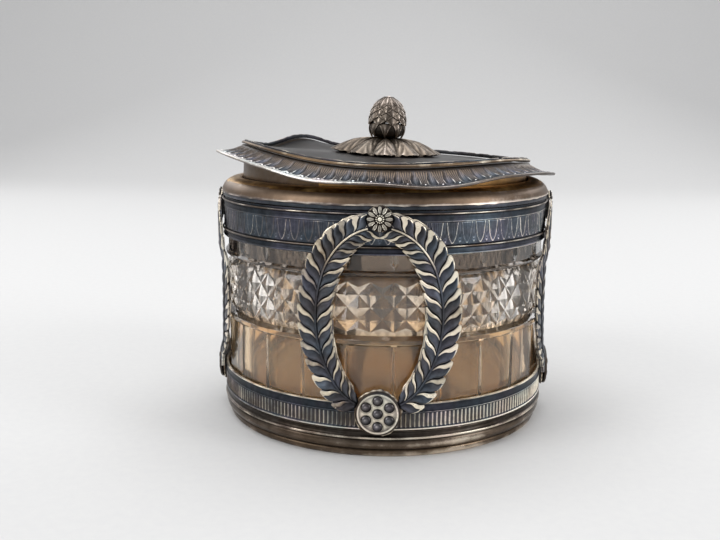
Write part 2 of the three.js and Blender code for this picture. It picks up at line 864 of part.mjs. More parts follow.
// One hanging petal between a root and a tip, given as [radius, height], with a raised midrib
function petal(root, tip, halfAngle, bulge, angle) {
  const positions = [];
  const index = [];
  const place = (r, a, z) => positions.push(r * Math.sin(a), -r * Math.cos(a), z);
  petalWidths.forEach((width, step) => {
    const share = step / (petalWidths.length - 1);
    const half = halfAngle * width;
    const r = THREE.MathUtils.lerp(root[0], tip[0], share) + bulge * Math.sin(Math.PI * share);
    const z = THREE.MathUtils.lerp(root[1], tip[1], share);
    place(r - petalThickness, angle - half, z);
    place(r - petalThickness, angle + half, z);
    place(r - petalEdge, angle + half, z);
    place(r + petalMidrib, angle, z);
    place(r - petalEdge, angle - half, z);
  });
  for (let i = 0; i < petalWidths.length - 1; i += 1) {
    for (let k = 0; k < 5; k += 1) {
      const a = 5 * i + k;
      const b = 5 * i + ((k + 1) % 5);
      index.push(a, a + 5, b + 5, a, b + 5, b);
    }
  }
  const end = 5 * (petalWidths.length - 1);
  for (const [a, b] of [[1, 2], [2, 3], [3, 4]]) {
    index.push(0, a, b);
    index.push(end, end + b, end + a);
  }
  return solid(positions, index);
}

function petalRing(root, tip, bulge, turn) {
  const petals = [];
  for (let k = 0; k < budPetals; k += 1) {
    const angle = turn + (k * TURN) / budPetals;
    petals.push(petal(root, tip, (petalOverlap * TURN) / budPetals, bulge, angle));
  }
  return petals;
}

// Lowest petals: their tips stand on the foliage as an open arcade round the stem
function calyx() {
  const root = [budRadius * calyxRoot, calyxTop];
  const tip = [budRadius * calyxFoot, budBase];
  const rise = calyxTop - budBase;
  const collar = turned([
    [stemRadius - 0.4, calyxTop - 0.3 * rise],
    [root[0] - 2 * petalEdge, calyxTop - 0.22 * rise],
    [root[0] - 2 * petalEdge, calyxTop],
    [stemRadius - 0.4, calyxTop],
  ], 2 * budPetals);
  const stem = turned([
    [pinRadius - fit / 2, foliageTop - foliageHeight / 2],
    [pinRadius, foliageTop - foliageHeight / 2],
    [pinRadius, foliageTop + fit],
    [stemRadius, foliageTop + fit],
    [stemRadius, calyxTop],
    [pinRadius - fit / 2, calyxTop],
  ], 8);
  return join([collar, stem, ...petalRing(root, tip, calyxBulge, budTurn)]);
}

// Radius of the egg-shaped bud; share runs from its foot to its top
function budProfile(share) {
  return budRadius * (1 - share ** 2.2) ** 0.55;
}

// Petals in tiers, each tier hanging over the next one with its tips between those below
function bud() {
  const base = calyxTop + fit;
  const columns = 4 * budPetals;
  const height = (share) => base + share * (budTop - base);
  const rings = [axisPoint(budTop)];
  let top = 0.97;
  for (let tier = 0; tier < budTiers; tier += 1) {
    const bottom = 0.7 * (1 - (tier + 1) / budTiers);
    const shift = tier % 2 === 0 ? 0 : 2;
    const midrib = (i) => Math.abs(((i + shift) % 4) - 2) / 2;
    const tip = (i) => height(bottom) + petalRise * (1 - midrib(i));
    const middle = (top + bottom) / 2 + 0.04;
    const spread = 1 - 0.06 * (budTiers - 1 - tier);
    rings.push(ring(columns, (a, i) => budProfile(middle) * spread * (0.94 + 0.08 * midrib(i)),
      height(middle), budTurn));
    const lipOut = (a, i) => (budProfile(bottom) * spread + lipFlare) * (0.95 + 0.05 * midrib(i));
    rings.push(ring(columns, lipOut, (a, i) => tip(i), budTurn));
    const lipIn = (a, i) => budProfile(bottom) * spread - petalThickness;
    rings.push(ring(columns, lipIn, (a, i) => tip(i) + 0.15, budTurn));
    top = bottom;
  }
  rings.push(axisPoint(base));
  return ringSolid(rings, false);
}

// Threaded rod and nut that hold the finial to the dome
function finialNut() {
  const seat = domeTop - sheet - fit;
  const nut = new THREE.CylinderGeometry(nutRadius, nutRadius, nutThickness, 6);
  nut.rotateX(Math.PI / 2);
  nut.translate(0, 0, seat - nutThickness / 2);
  const bottom = seat - 1.5 * nutThickness;
  const top = foliageTop - foliageHeight / 2 - fit;
  const rod = new THREE.CylinderGeometry(pinRadius, pinRadius, top - bottom, 12);
  rod.rotateX(Math.PI / 2);
  rod.translate(0, 0, (top + bottom) / 2);
  return join([nut, rod]);
}

// Scene graph

const silver = { color: 0x8d8a84, roughness: 0.32, metalness: 1 };
const darkSilver = { color: 0x5f646b, roughness: 0.4, metalness: 1 };
const glass = { color: 0xd8cdbd, roughness: 0.05, metalness: 0 };

function mesh(name, geometry, look) {
  const piece = new THREE.Mesh(geometry, new THREE.MeshStandardMaterial(look));
  piece.name = name;
  return piece;
}

const box = new THREE.Group();
box.add(mesh('foot', foot(), silver));
box.add(mesh('lower_band', lowerBand(), darkSilver));
box.add(mesh('crystal_drum', crystal(), glass));
box.add(mesh('upper_band', upperBand(), darkSilver));
box.add(mesh('lower_fillet', fillet(lowerFilletBase), silver));
box.add(mesh('upper_fillet', fillet(upperFilletBase), silver));
box.add(mesh('shoulder', shoulder(), silver));

const sideNames = ['front', 'right', 'back', 'left'];
const wreathShape = wreath();
const rosetteShape = rosette();
const medallionShape = medallion();
sideNames.slice(0, wreathCount).forEach((side, k) => {
  const mount = new THREE.Group();
  mount.rotation.z = (k * TURN) / wreathCount;
  mount.add(mesh(`wreath_${side}`, wreathShape, darkSilver));
  mount.add(mesh(`rosette_${side}`, rosetteShape, silver));
  mount.add(mesh(`medallion_${side}`, medallionShape, silver));
  box.add(mount);
});

const lid = new THREE.Group();
lid.position.z = shoulderTop + lidStand;
lid.rotation.y = lidTilt;
lid.add(mesh('lid_flange', flange(), darkSilver));
lid.add(mesh('lid_wire', wire(), silver));
lid.add(mesh('lid_dome', dome(), silver));
lid.add(mesh('lid_bezel', bezel(), silver));
lid.add(mesh('finial_foliage', foliage(), silver));
lid.add(mesh('finial_calyx', calyx(), silver));
lid.add(mesh('finial_bud', bud(), silver));
lid.add(mesh('finial_nut', finialNut(), silver));
box.add(lid);

export default box;
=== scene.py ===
import math

import bmesh
import bpy
import numpy as np
from mathutils import Matrix, Vector


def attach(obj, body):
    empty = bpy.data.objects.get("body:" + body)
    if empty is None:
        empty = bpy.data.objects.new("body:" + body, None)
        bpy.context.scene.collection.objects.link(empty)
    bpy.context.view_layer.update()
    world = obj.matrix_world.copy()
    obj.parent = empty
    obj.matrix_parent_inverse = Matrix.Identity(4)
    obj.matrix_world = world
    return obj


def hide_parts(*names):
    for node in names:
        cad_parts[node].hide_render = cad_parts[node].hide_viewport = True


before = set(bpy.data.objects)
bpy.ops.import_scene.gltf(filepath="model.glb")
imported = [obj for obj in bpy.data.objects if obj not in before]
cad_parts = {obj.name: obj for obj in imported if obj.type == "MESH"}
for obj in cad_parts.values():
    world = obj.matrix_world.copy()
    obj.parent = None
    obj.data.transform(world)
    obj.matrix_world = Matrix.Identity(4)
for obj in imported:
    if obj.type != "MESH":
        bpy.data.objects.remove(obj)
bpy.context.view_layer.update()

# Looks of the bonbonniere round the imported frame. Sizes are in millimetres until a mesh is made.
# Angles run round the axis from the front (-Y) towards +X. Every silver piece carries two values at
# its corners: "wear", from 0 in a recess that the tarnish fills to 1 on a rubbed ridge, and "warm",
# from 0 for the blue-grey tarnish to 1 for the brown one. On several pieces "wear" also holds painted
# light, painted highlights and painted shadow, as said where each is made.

MM = 0.001
TURN = 2 * math.pi
DEG = math.pi / 180

# Sizes, after those of the frame
FIT = 0.3
PANELS = 24
CRYSTAL_TURN = 4.7 * DEG
PANEL = 56.0
PANEL_CORNER = PANEL / math.cos(math.pi / PANELS)
BAND_INNER = PANEL_CORNER + FIT
CRYSTAL_BASE = 8.4
CRYSTAL_TOP = 77.8
GLASS_INNER = 52.0
GLASS_FLOOR = 14.9
GLASS_COVE = 3
DIAMOND_TIP = 56.95
DIAMOND_ROOT = 55.75
DIAMOND_RISE = 7.8
DIAMOND_MIDDLE = 48.0
DIAMOND_ROWS = 5
DIAMOND_FLAT = 0.09
RING = 57.0
GROOVE = 54.9
GROOVE_RISE = 1.4
GROOVE_LOW = DIAMOND_MIDDLE - DIAMOND_RISE - GROOVE_RISE
GROOVE_HIGH = DIAMOND_MIDDLE + DIAMOND_RISE + GROOVE_RISE
CHAMFER = 1.1
SPEAR = 1.5
SPEAR_DEPTH = 0.9
LOWER_TOP = 17.8
UPPER_BASE = 64.4
LOWER_FILLET = 66.5
UPPER_FILLET = 76.6
FILLET = 57.62
FILLET_HALF = 0.34
COLUMNS = 384
FLUTES = 248
WATER_LEAVES = 72
FRIEZE = 57.28
FRIEZE_LOW = 67.35
FRIEZE_HIGH = 74.3
SHOULDER = 51.9
SHOULDER_WIDTH = 6.0
SHOULDER_BASE = 79.95
SHOULDER_RISE = 4.25
WREATH = 58.4
DRAWN = 0.9
SHEET = 0.5
LEAF_REACH = 6.15
STEM_HALF = 0.5
WREATH_MIDDLE = 44.8
HALF_WIDTH = 20.1
HALF_HEIGHT = 28.4
LEAVES = 15
ARM_START = 16
ARM_SWEEP = 154
LEAN = 42 * DEG
ROSETTE_Z = 75.7
ROSETTE = 3.9
MEDALLION_Z = 15.3
MEDALLION = 7.0
FIXING = WREATH + SHEET + FIT
LID_LEVEL = 86.7
LID_TILT = 2.7 * DEG
LIP = 60.0
WIRE = 50.25
WIRE_WIDTH = 1.9
BEZEL = 50.25
FLANGE_RISE = 4.1
TONGUES = 67
LID_SHEET = 0.7
DOME_RISE = 1.2
DOME_EDGE = 48.05


def unit(value):
    """The value, kept between 0 and 1."""
    return np.clip(value, 0.0, 1.0)


def smooth(low, high, value):
    t = unit((value - low) / (high - low))
    return t * t * (3 - 2 * t)


def mix(a, b, t):
    return a + (b - a) * t


def around(count):
    """Angles of evenly spaced columns round the axis."""
    return np.arange(count) * TURN / count


def bell(away, width):
    """1 in the middle of a line or bead, falling off to its sides."""
    return np.exp(-(away / width) ** 2)


def dots_at(across, along, width, length):
    """A small bead: 1 in its middle, falling off in both directions."""
    return np.exp(-((across / width) ** 2 + (along / length) ** 2))


def polar(angle, radius, height):
    x, y, z = np.broadcast_arrays(radius * np.sin(angle), -radius * np.cos(angle), height)
    return np.stack([x, y, z], -1)


# Meshes

class Shape:
    """Corners, faces and the two values, gathered from several grids into one mesh."""

    def __init__(self):
        self.points = []
        self.faces = []
        self.wear = []
        self.warm = []
        self.count = 0

    def add(self, points, faces, wear=0.5, warm=0.3):
        points = np.asarray(points, float).reshape(-1, 3)
        self.points.append(points)
        self.wear.append(np.broadcast_to(np.asarray(wear, float).ravel(), (len(points),)))
        self.warm.append(np.broadcast_to(np.asarray(warm, float).ravel(), (len(points),)))
        self.faces += [[self.count + i for i in face] for face in faces]
        self.count += len(points)

    def grid(self, points, wear=0.5, warm=0.3, wrap=True, loop=False):
        """Quads over points[row, column]; wrap joins the last column to the first, loop the rows."""
        rows, cols = points.shape[:2]
        index = np.arange(rows * cols).reshape(rows, cols)
        right = np.roll(index, -1, 1)
        up = np.roll(index, -1, 0)
        both = np.roll(right, -1, 0)
        quads = np.stack([index, right, both, up], -1)
        quads = quads[: rows if loop else rows - 1, : cols if wrap else cols - 1]
        shape = (rows, cols)
        wear = np.broadcast_to(np.asarray(wear, float), shape)
        warm = np.broadcast_to(np.asarray(warm, float), shape)
        self.add(points, quads.reshape(-1, 4).tolist(), wear, warm)

    def loft(self, rings, wear, warm):
        """A closed solid through rings of as many corners each, capped at both ends."""
        start = self.count
        rings = np.asarray(rings, float)
        self.grid(rings, wear, warm)
        width = rings.shape[1]
        last = start + (len(rings) - 1) * width
        self.faces.append([start + i for i in reversed(range(width))])
        self.faces.append([last + i for i in range(width)])

    def mesh(self, name, angle=38):
        mesh = bpy.data.meshes.new(name)
        points = np.concatenate(self.points) * MM
        mesh.from_pydata(points.tolist(), [], self.faces)
        for label, values in (("wear", self.wear), ("warm", self.warm)):
            layer = mesh.attributes.new(label, "FLOAT", "POINT")
            layer.data.foreach_set("value", np.concatenate(values).astype(np.float32))
        mesh.validate()
        mesh.shade_smooth()
        mesh.set_sharp_from_angle(angle=angle * DEG)
        return mesh


def piece(name, mesh, material, body, nodes=(), turn=0.0):
    obj = bpy.data.objects.new(name, mesh)
    bpy.context.scene.collection.objects.link(obj)
    obj.rotation_euler = (0, 0, turn)
    if not mesh.materials:
        mesh.materials.append(material)
    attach(obj, body)
    if nodes:
        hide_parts(*nodes)
    return obj


def second_finish(mesh, materials, chosen):
    """Gives the second material to the faces whose middle, in millimetres, is chosen."""
    for material in materials:
        mesh.materials.append(material)
    for face in mesh.polygons:
        face.material_index = int(chosen(*(face.center / MM)))
    return mesh


def soften(outline, radius=0.25, steps=3):
    """Rounds the corners of a closed outline of [radius, height, wear, warm] rows."""
    outline = np.asarray(outline, float)
    result = []
    for k in range(len(outline)):
        before, here, after = outline[k - 1], outline[k], outline[(k + 1) % len(outline)]
        ends = []
        for other in (before, after):
            length = np.hypot(*(other - here)[:2])
            share = min(radius / max(length, 1e-6), 0.4)
            ends.append(here + (other - here) * share)
        for t in np.linspace(0, 1, steps):
            result.append((1 - t) ** 2 * ends[0] + 2 * t * (1 - t) * here + t * t * ends[1])
    return np.array(result)


def turned(outline, count=256, wobble=None, rub=None):
    """A turned piece; the outline runs up the outside and down the inside."""
    rows = np.asarray(outline)
    angle = around(count)
    radius = rows[:, None, 0] + 0 * angle
    height = rows[:, None, 1] + 0 * angle
    if wobble:
        radius, height = wobble(angle[None, :], radius, height)
    wear = rows[:, None, 2] + 0 * angle
    if rub:
        wear = unit(rub(angle[None, :], wear))
    shape = Shape()
    shape.grid(polar(angle, radius, height), wear, rows[:, None, 3], loop=True)
    return shape


# Materials

def nodes_of(owner):
    owner.use_nodes = True
    owner.node_tree.nodes.clear()
    return owner.node_tree


def add_node(tree, kind, inputs=None, **settings):
    node = tree.nodes.new(kind)
    for key, value in settings.items():
        setattr(node, key, value)
    for key, value in (inputs or {}).items():
        if isinstance(value, bpy.types.NodeSocket):
            tree.links.new(value, node.inputs[key])
        else:
            node.inputs[key].default_value = value
    return node


def ramp(tree, value, stops):
    node = add_node(tree, "ShaderNodeValToRGB", {"Fac": value})
    elements = node.color_ramp.elements
    while len(elements) < len(stops):
        elements.new(0.5)
    for element, (place, colour) in zip(elements, stops):
        element.position = place
        element.color = (*colour, 1) if len(colour) == 3 else colour
    return node.outputs["Color"]


def noise_value(tree, scale, detail=3.0, rough=0.55, seed=0.0, stretch=(1, 1, 1)):
    place = add_node(tree, "ShaderNodeTexCoord").outputs["Object"]
    place = add_node(tree, "ShaderNodeMapping", {"Vector": place, "Scale": stretch,
                                                 "Location": (seed, seed * 0.7, seed * 1.3)})
    node = add_node(tree, "ShaderNodeTexNoise", {"Vector": place.outputs[0], "Scale": scale,
                                                 "Detail": detail, "Roughness": rough})
    return node.outputs["Fac"]


def maths(tree, how, a, b, clamp=False):
    return add_node(tree, "ShaderNodeMath", {0: a, 1: b}, operation=how, use_clamp=clamp).outputs[0]


def swing(tree, level, noise, amount):
    """The level, moved up and down by the noise."""
    return maths(tree, "ADD", level, maths(tree, "MULTIPLY", maths(tree, "SUBTRACT", noise, 0.5), amount))


def ranged(tree, value, ends, start=(0.0, 1.0)):
    node = add_node(tree, "ShaderNodeMapRange", {"Value": value, "From Min": start[0], "From Max": start[1],
                                                 "To Min": ends[0], "To Max": ends[1]})
    return node.outputs[0]


def attribute(tree, name):
    return add_node(tree, "ShaderNodeAttribute", attribute_name=name).outputs["Fac"]


def scaled(colour, factor):
    return tuple(min(1.0, factor * c) for c in colour)


def shade(tree, inputs):
    shader = add_node(tree, "ShaderNodeBsdfPrincipled", inputs)
    add_node(tree, "ShaderNodeOutputMaterial", {"Surface": shader.outputs[0]})


def blend(tree, share, a, b, how="MIX"):
    node = add_node(tree, "ShaderNodeMix", data_type="RGBA", blend_type=how)
    sockets = {"Factor_Float": share, "A_Color": a, "B_Color": b}
    for socket in node.inputs:
        value = sockets.get(socket.identifier)
        if isinstance(value, bpy.types.NodeSocket):
            tree.links.new(value, socket)
        elif value is not None:
            socket.default_value = value
    return next(socket for socket in node.outputs if socket.identifier == "Result_Color")


def silver(name, blue, brown, bright, cream=(0.82, 0.72, 0.55), mottle=0.5, warmth=0.0, rough=(0.42, 0.2),
           bump=0.25, seed=0.0, hue=0.3, metal=(1.0, 0.5)):
    """Old silver: tarnish that wear has rubbed from the ridges, in patches, with fine scratches."""
    material = bpy.data.materials.new(name)
    tree = nodes_of(material)
    patches = noise_value(tree, 70, 4, 0.6, seed)
    spots = noise_value(tree, 520, 3, 0.6, seed + 3)
    grains = noise_value(tree, 2600, 2, 0.5, seed + 5)
    clouds = noise_value(tree, 110, 2, 0.5, seed + 8)
    level = swing(tree, swing(tree, attribute(tree, "wear"), patches, mottle), spots, 0.35)
    level = maths(tree, "ADD", level, 0.0, clamp=True)
    tint = swing(tree, attribute(tree, "warm"), patches, -1.1)
    tint = maths(tree, "ADD", tint, warmth, clamp=True)
    cold = ramp(tree, level, [(0.0, scaled(blue, 0.25)), (0.28, blue), (0.55, scaled(blue, 2.6)),
                              (0.8, bright), (1.0, scaled(bright, 1.25))])
    drift = ramp(tree, clouds, [(0.38, (0.74, 1.02, 1.1)), (0.5, (1.0, 0.99, 0.96)),
                                (0.62, (1.12, 0.94, 1.16))])
    cold = blend(tree, hue, cold, drift, "MULTIPLY")
    hot = ramp(tree, level, [(0.0, scaled(brown, 0.22)), (0.28, scaled(brown, 0.6)), (0.55, brown),
                             (0.82, cream), (1.0, scaled(cream, 1.2))])
    gloss = maths(tree, "ADD", ranged(tree, level, rough), maths(tree, "MULTIPLY", spots, 0.12))
    relief = maths(tree, "ADD", maths(tree, "MULTIPLY", spots, 0.6), maths(tree, "MULTIPLY", grains, 0.4))
    dent = add_node(tree, "ShaderNodeBump", {"Height": relief, "Strength": bump, "Distance": 0.0002})
    shade(tree, {"Base Color": blend(tree, tint, cold, hot), "Roughness": gloss, "Normal": dent.outputs[0],
                 "Metallic": ranged(tree, level, metal, (0.6, 0.95))})
    return material


BLUE = (0.052, 0.058, 0.07)
BROWN = (0.17, 0.115, 0.068)
PALE = (0.74, 0.69, 0.61)

silver_dark = silver("silver_dark", BLUE, BROWN, PALE, seed=1.0)
silver_band = silver("silver_band", BLUE, (0.15, 0.12, 0.095), PALE, mottle=0.35, warmth=-0.1, seed=4.0,
                     hue=0.45)
silver_shoulder = silver("silver_shoulder", BLUE, (0.2, 0.135, 0.088), (0.74, 0.68, 0.62),
                         cream=(0.56, 0.45, 0.34), mottle=0.75, warmth=0.25, rough=(0.4, 0.24), bump=0.14,
                         seed=7.0, metal=(0.75, 0.5))
silver_foot = silver("silver_foot", (0.05, 0.045, 0.042), (0.17, 0.12, 0.08), (0.6, 0.52, 0.43),
                     cream=(0.55, 0.45, 0.34), mottle=0.75, warmth=0.15, rough=(0.3, 0.14), seed=9.0)
silver_lid = silver("silver_lid", (0.045, 0.05, 0.06), (0.2, 0.15, 0.11), (0.86, 0.83, 0.79),
                    cream=(0.8, 0.73, 0.65), mottle=0.3, seed=12.0)
# The dome's colours stay dark even where it is worn: tarnish with a painted dark reflection over it.
dome_dark_reflection = silver("dome_dark_reflection", (0.052, 0.05, 0.05), (0.11, 0.09, 0.075), (0.36, 0.33, 0.31),
                     cream=(0.38, 0.33, 0.28), mottle=0.5, rough=(0.36, 0.26), bump=0.12, seed=15.0)
silver_finial = silver("silver_finial", (0.105, 0.096, 0.088), (0.26, 0.21, 0.165), (0.78, 0.73, 0.67),
                       cream=(0.68, 0.6, 0.51), mottle=0.35, warmth=0.15, seed=18.0)
silver_bead = silver("silver_bead", (0.06, 0.06, 0.066), (0.2, 0.16, 0.135), (0.8, 0.76, 0.72),
                     cream=(0.78, 0.68, 0.6), rough=(0.22, 0.12), bump=0.4, seed=26.0)
# Gilt colours; on the shoulder's top, the bezel and the foliage round the bud they also serve as a painted
# golden reflection.
gilt_and_painted_glint = silver("gilt_and_painted_glint", (0.1, 0.078, 0.055), (0.46, 0.27, 0.105), (0.85, 0.6, 0.28),
                     cream=(0.86, 0.55, 0.21), mottle=1.1, warmth=0.35, rough=(0.34, 0.2), seed=21.0)


def crystal_glass():
    """Old crystal, nearly clear; amber with the film on it and low down with a painted warm reflection, smoky
    as painted shade under the upper mount, and less polished in the mitred cuts.
    """
    material = bpy.data.materials.new("crystal")
    tree = nodes_of(material)
    film = noise_value(tree, 90, 3, 0.6, 2.0)
    fine = noise_value(tree, 900, 2, 0.5, 6.0)
    clear = ramp(tree, film, [(0.3, (0.98, 0.955, 0.92)), (0.7, (0.96, 0.925, 0.88))])
    amber_and_warm_reflection = ramp(tree, film, [(0.3, (0.96, 0.74, 0.46)), (0.7, (0.92, 0.61, 0.32))])
    # Painted shade: the smoky tint darkens the glass under the upper mount.
    smoky_shade = ramp(tree, film, [(0.3, (0.25, 0.208, 0.172)), (0.7, (0.175, 0.14, 0.113))])
    cut = attribute(tree, "cut")
    colour = blend(tree, attribute(tree, "warm"), clear, amber_and_warm_reflection)
    colour = blend(tree, attribute(tree, "wear"), smoky_shade, colour)
    colour = blend(tree, maths(tree, "MULTIPLY", cut, 0.8), colour, (0.95, 0.94, 0.92, 1))
    rough = maths(tree, "ADD", ranged(tree, fine, (0.03, 0.11)), maths(tree, "MULTIPLY", cut, 0.35))
    dent = add_node(tree, "ShaderNodeBump", {"Height": fine, "Strength": 0.05, "Distance": 0.0001})
    shade(tree, {"Base Color": colour, "Roughness": rough, "Normal": dent.outputs[0], "IOR": 1.54,
                 "Transmission Weight": 0.95})
    return material


glass = crystal_glass()


# Crystal drum

def panel_radius(angle):
    """Distance from the axis to the flat panels."""
    step = TURN / PANELS
    away = (angle - CRYSTAL_TURN) % step - step / 2
    return PANEL / np.cos(away)


def ridged_panels(shape, high, low, pointed):
    """Flat panels; each ridge between them has a mitred spear, wide at the low end."""
    step = TURN / PANELS
    levels, shares = [low, low + 9.0, high - 2.0, high], [1.0, 0.6, 0.42, 0.0]
    if pointed:
        levels, shares = [low, low + 2.2, high - 1.2, high], [0.0, 1.0, 0.12, 0.0]
    rows = []
    for z, share in zip(levels, shares):
        away = max(share * SPEAR / PANEL, 0.0003)
        corners = []
        for i in range(PANELS):
            ridge = CRYSTAL_TURN + i * step
            middle = ridge + step / 2
            for angle in (ridge - away, ridge, ridge + away, middle - step / 6, middle + step / 6):
                cut = SPEAR_DEPTH * share if angle == ridge else 0.0
                corners.append(polar(angle, panel_radius(angle) - cut, z))
        rows.append(corners)
    shape.grid(np.array(rows), 1, 0)


def cut_diamonds(shape):
    """Diamonds with a small flat tip; the outer rows are halves that run out into the grooves."""
    columns = 2 * PANELS
    half = TURN / (2 * columns)
    slope = (DIAMOND_ROOT - GROOVE) / GROOVE_RISE
    fall = (DIAMOND_TIP - DIAMOND_ROOT) / (DIAMOND_RISE / 2)
    flat = math.cos(half)
    peak = (DIAMOND_TIP - DIAMOND_ROOT * flat) / (fall + slope * flat)

    def corner(i, radius, z):
        return polar(CRYSTAL_TURN + i * half, radius, z)

    def facet(*corners):
        shape.add(np.array(corners), [list(range(len(corners)))], 1, 0)

    for row in range(DIAMOND_ROWS):
        z = GROOVE_LOW + GROOVE_RISE + row * DIAMOND_RISE / 2
        for i in range(1 - row % 2, 2 * columns, 2):
            up, down = (corner(i, DIAMOND_ROOT, z + way * DIAMOND_RISE / 2) for way in (1, -1))
            right, left = (corner(i + way, DIAMOND_ROOT, z) for way in (1, -1))
            if 0 < row < DIAMOND_ROWS - 1:
                ends = [right, up, left, down]
                top = [mix(corner(i, DIAMOND_TIP, z), end, DIAMOND_FLAT) for end in ends]
                facet(*top)
                for k in range(4):
                    facet(ends[k], ends[(k + 1) % 4], top[(k + 1) % 4], top[k])
                continue
            way, inner, groove = (1, up, GROOVE_LOW) if row == 0 else (-1, down, GROOVE_HIGH)
            first, last = (right, left)[::way]
            crown = corner(i, DIAMOND_TIP - fall * peak, z + way * peak)
            facet(corner(i + way, GROOVE, groove), first, crown, last, corner(i - way, GROOVE, groove))
            for face in [(first, inner, crown), (inner, last, crown)][::way]:
                facet(*face)


def drum_body(shape):
    """The panels, rings and grooves outside, the chamfered mouth, the smooth inside and the base."""
    count = 16 * PANELS
    angle = CRYSTAL_TURN + around(count)
    panels = panel_radius(angle)
    step = TURN / (2 * PANELS)
    groove = GROOVE * math.cos(step / 2) / np.cos((angle - CRYSTAL_TURN) % step - step / 2)
    ring, edge = RING, RING - 0.15
    low, high = GROOVE_LOW - 0.9, GROOVE_HIGH + 0.9

    def band(*rows):
        shape.grid(polar(angle, np.array([r + 0 * angle for r, _ in rows]),
                         np.array([z + 0 * angle for _, z in rows])), 1, 0)

    band((panels - CHAMFER, CRYSTAL_BASE), (panels, CRYSTAL_BASE + CHAMFER))
    ridged_panels(shape, low - 2.1, CRYSTAL_BASE + CHAMFER, False)
    band((panels, low - 2.1), (edge, low - 1.5))
    band((edge, low - 1.5), (ring, low - 1.3), (ring, low - 0.15), (edge, low))
    band((edge, low), (groove, GROOVE_LOW))
    band((groove, GROOVE_HIGH), (edge, high))
    band((edge, high), (ring, high + 0.12), (ring, high + 0.6), (ring - 0.12, high + 0.75))
    band((ring - 0.12, high + 0.75), (panels, high + 1.35))
    ridged_panels(shape, CRYSTAL_TOP - CHAMFER, high + 1.35, True)
    inner = [(GLASS_INNER, z) for z in (CRYSTAL_TOP, 60, 57.8, 56.6, 53, 41, 38, GLASS_FLOOR + GLASS_COVE)]
    for a in np.arange(1, 25) / 24 * math.pi / 2:
        inner.append((GLASS_INNER - GLASS_COVE + GLASS_COVE * math.cos(a),
                      GLASS_FLOOR + GLASS_COVE - GLASS_COVE * math.sin(a)))
    inner += [(r, GLASS_FLOOR) for r in (40, 25, 10, 1)]
    band((panels, CRYSTAL_TOP - CHAMFER), (panels - CHAMFER, CRYSTAL_TOP), *inner)
    shape.add(polar(angle, 1, GLASS_FLOOR + 0 * angle), [list(range(count))], 1, 0)
    band((0.01, CRYSTAL_BASE), (30, CRYSTAL_BASE), (panels - CHAMFER, CRYSTAL_BASE))


def crystal_drum():
    """The cut crystal, with the edges between its facets kept sharp."""
    shape = Shape()
    cut_diamonds(shape)
    drum_body(shape)
    mesh = weld(shape.mesh("crystal", 5), 5)
    place = np.zeros(3 * len(mesh.vertices))
    mesh.vertices.foreach_get("co", place)
    x, y, z = place.reshape(-1, 3).T / MM
    radius = np.hypot(x, y)
    # On the glass "warm" is the amber film inside the panels, which low down also stands as a painted warm
    # reflection from below, and "wear" at 0 is painted shade, a smoky tint under the upper mount
    warm = 0.15 + 0.2 * smooth(53.5, 52.5, radius) + 0.65 * smooth(42, 37, z)
    ridge = (np.arctan2(x, -y) - CRYSTAL_TURN) % (TURN / PANELS)
    ridge = np.minimum(ridge, TURN / PANELS - ridge)
    sunk = PANEL_CORNER - 0.03 - radius
    cut = (ridge < 0.002) & (sunk > 0) & (sunk < 1.0) & ((z < 38) | (z > 60))
    mesh.attributes.new("cut", "FLOAT", "POINT")
    for label, values in (("warm", warm), ("wear", smooth(57.6, 56.6, z)), ("cut", cut)):
        mesh.attributes[label].data.foreach_set("value", values.astype(np.float32))
    return mesh


def weld(mesh, angle=None):
    """Joins corners that share a place, turns the faces outwards and marks the edges over the angle."""
    work = bmesh.new()
    work.from_mesh(mesh)
    bmesh.ops.remove_doubles(work, verts=work.verts, dist=1e-6)
    bmesh.ops.recalc_face_normals(work, faces=work.faces)
    work.to_mesh(mesh)
    work.free()
    if angle:
        mesh.set_sharp_from_angle(angle=angle * DEG)
    return mesh


# Foot, bands, fillets and shoulder

def foot_mesh():
    """A rolled lower rim, a torus and a fillet under the lower band, with the ledge inside."""
    outline = soften([
        [52.8, 0.0, 0.2, 0.9], [55.7, 0.0, 0.75, 0.6], [56.25, 0.5, 0.7, 0.6], [56.3, 1.8, 0.4, 0.8],
        [56.0, 2.1, 0.02, 0.9], [56.4, 2.5, 0.18, 0.9], [57.2, 3.1, 0.34, 0.8], [57.65, 4.2, 0.56, 0.55],
        [57.45, 5.4, 0.26, 0.5], [57.0, 5.95, 0.0, 0.4], [57.6, 6.2, 0.3, 0.3], [58.0, 6.4, 0.95, 0.3],
        [58.0, 6.95, 0.7, 0.3], [57.5, 7.15, 0.15, 0.2], [57.15, 7.6, 0.06, 0.2], [57.1, 8.3, 0.12, 0.2],
        [57.4, 8.85, 0.3, 0.3], [57.3, 9.0, 0.3, 0.3], [56.8, 9.0, 0.3, 0.5],
        [56.8, 8.1, 1.0, 1.0], [49.8, 8.1, 1.0, 1.0], [49.8, 6.5, 0.7, 1.0],
    ], 0.22, 4)

    def wobble(angle, radius, height):
        dent = 0.05 * np.sin(3 * angle + 1) + 0.04 * np.sin(7 * angle) + 0.02 * np.sin(23 * angle + height)
        return radius + dent * (radius > 55) - 0.07, height

    def rub(angle, wear):
        """Uneven polish: dark spots in the torus, a painted highlight at the front right, and a little darker
        on the left.
        """
        bright = 0.75 * bell(angle - 0.42, 0.2) - 0.12 * smooth(0.2, -1.0, np.sin(angle))
        return wear * (0.72 + 0.45 * ragged(angle, 1.0) + bright)

    return turned(outline, COLUMNS, wobble, rub).mesh("foot", 50)


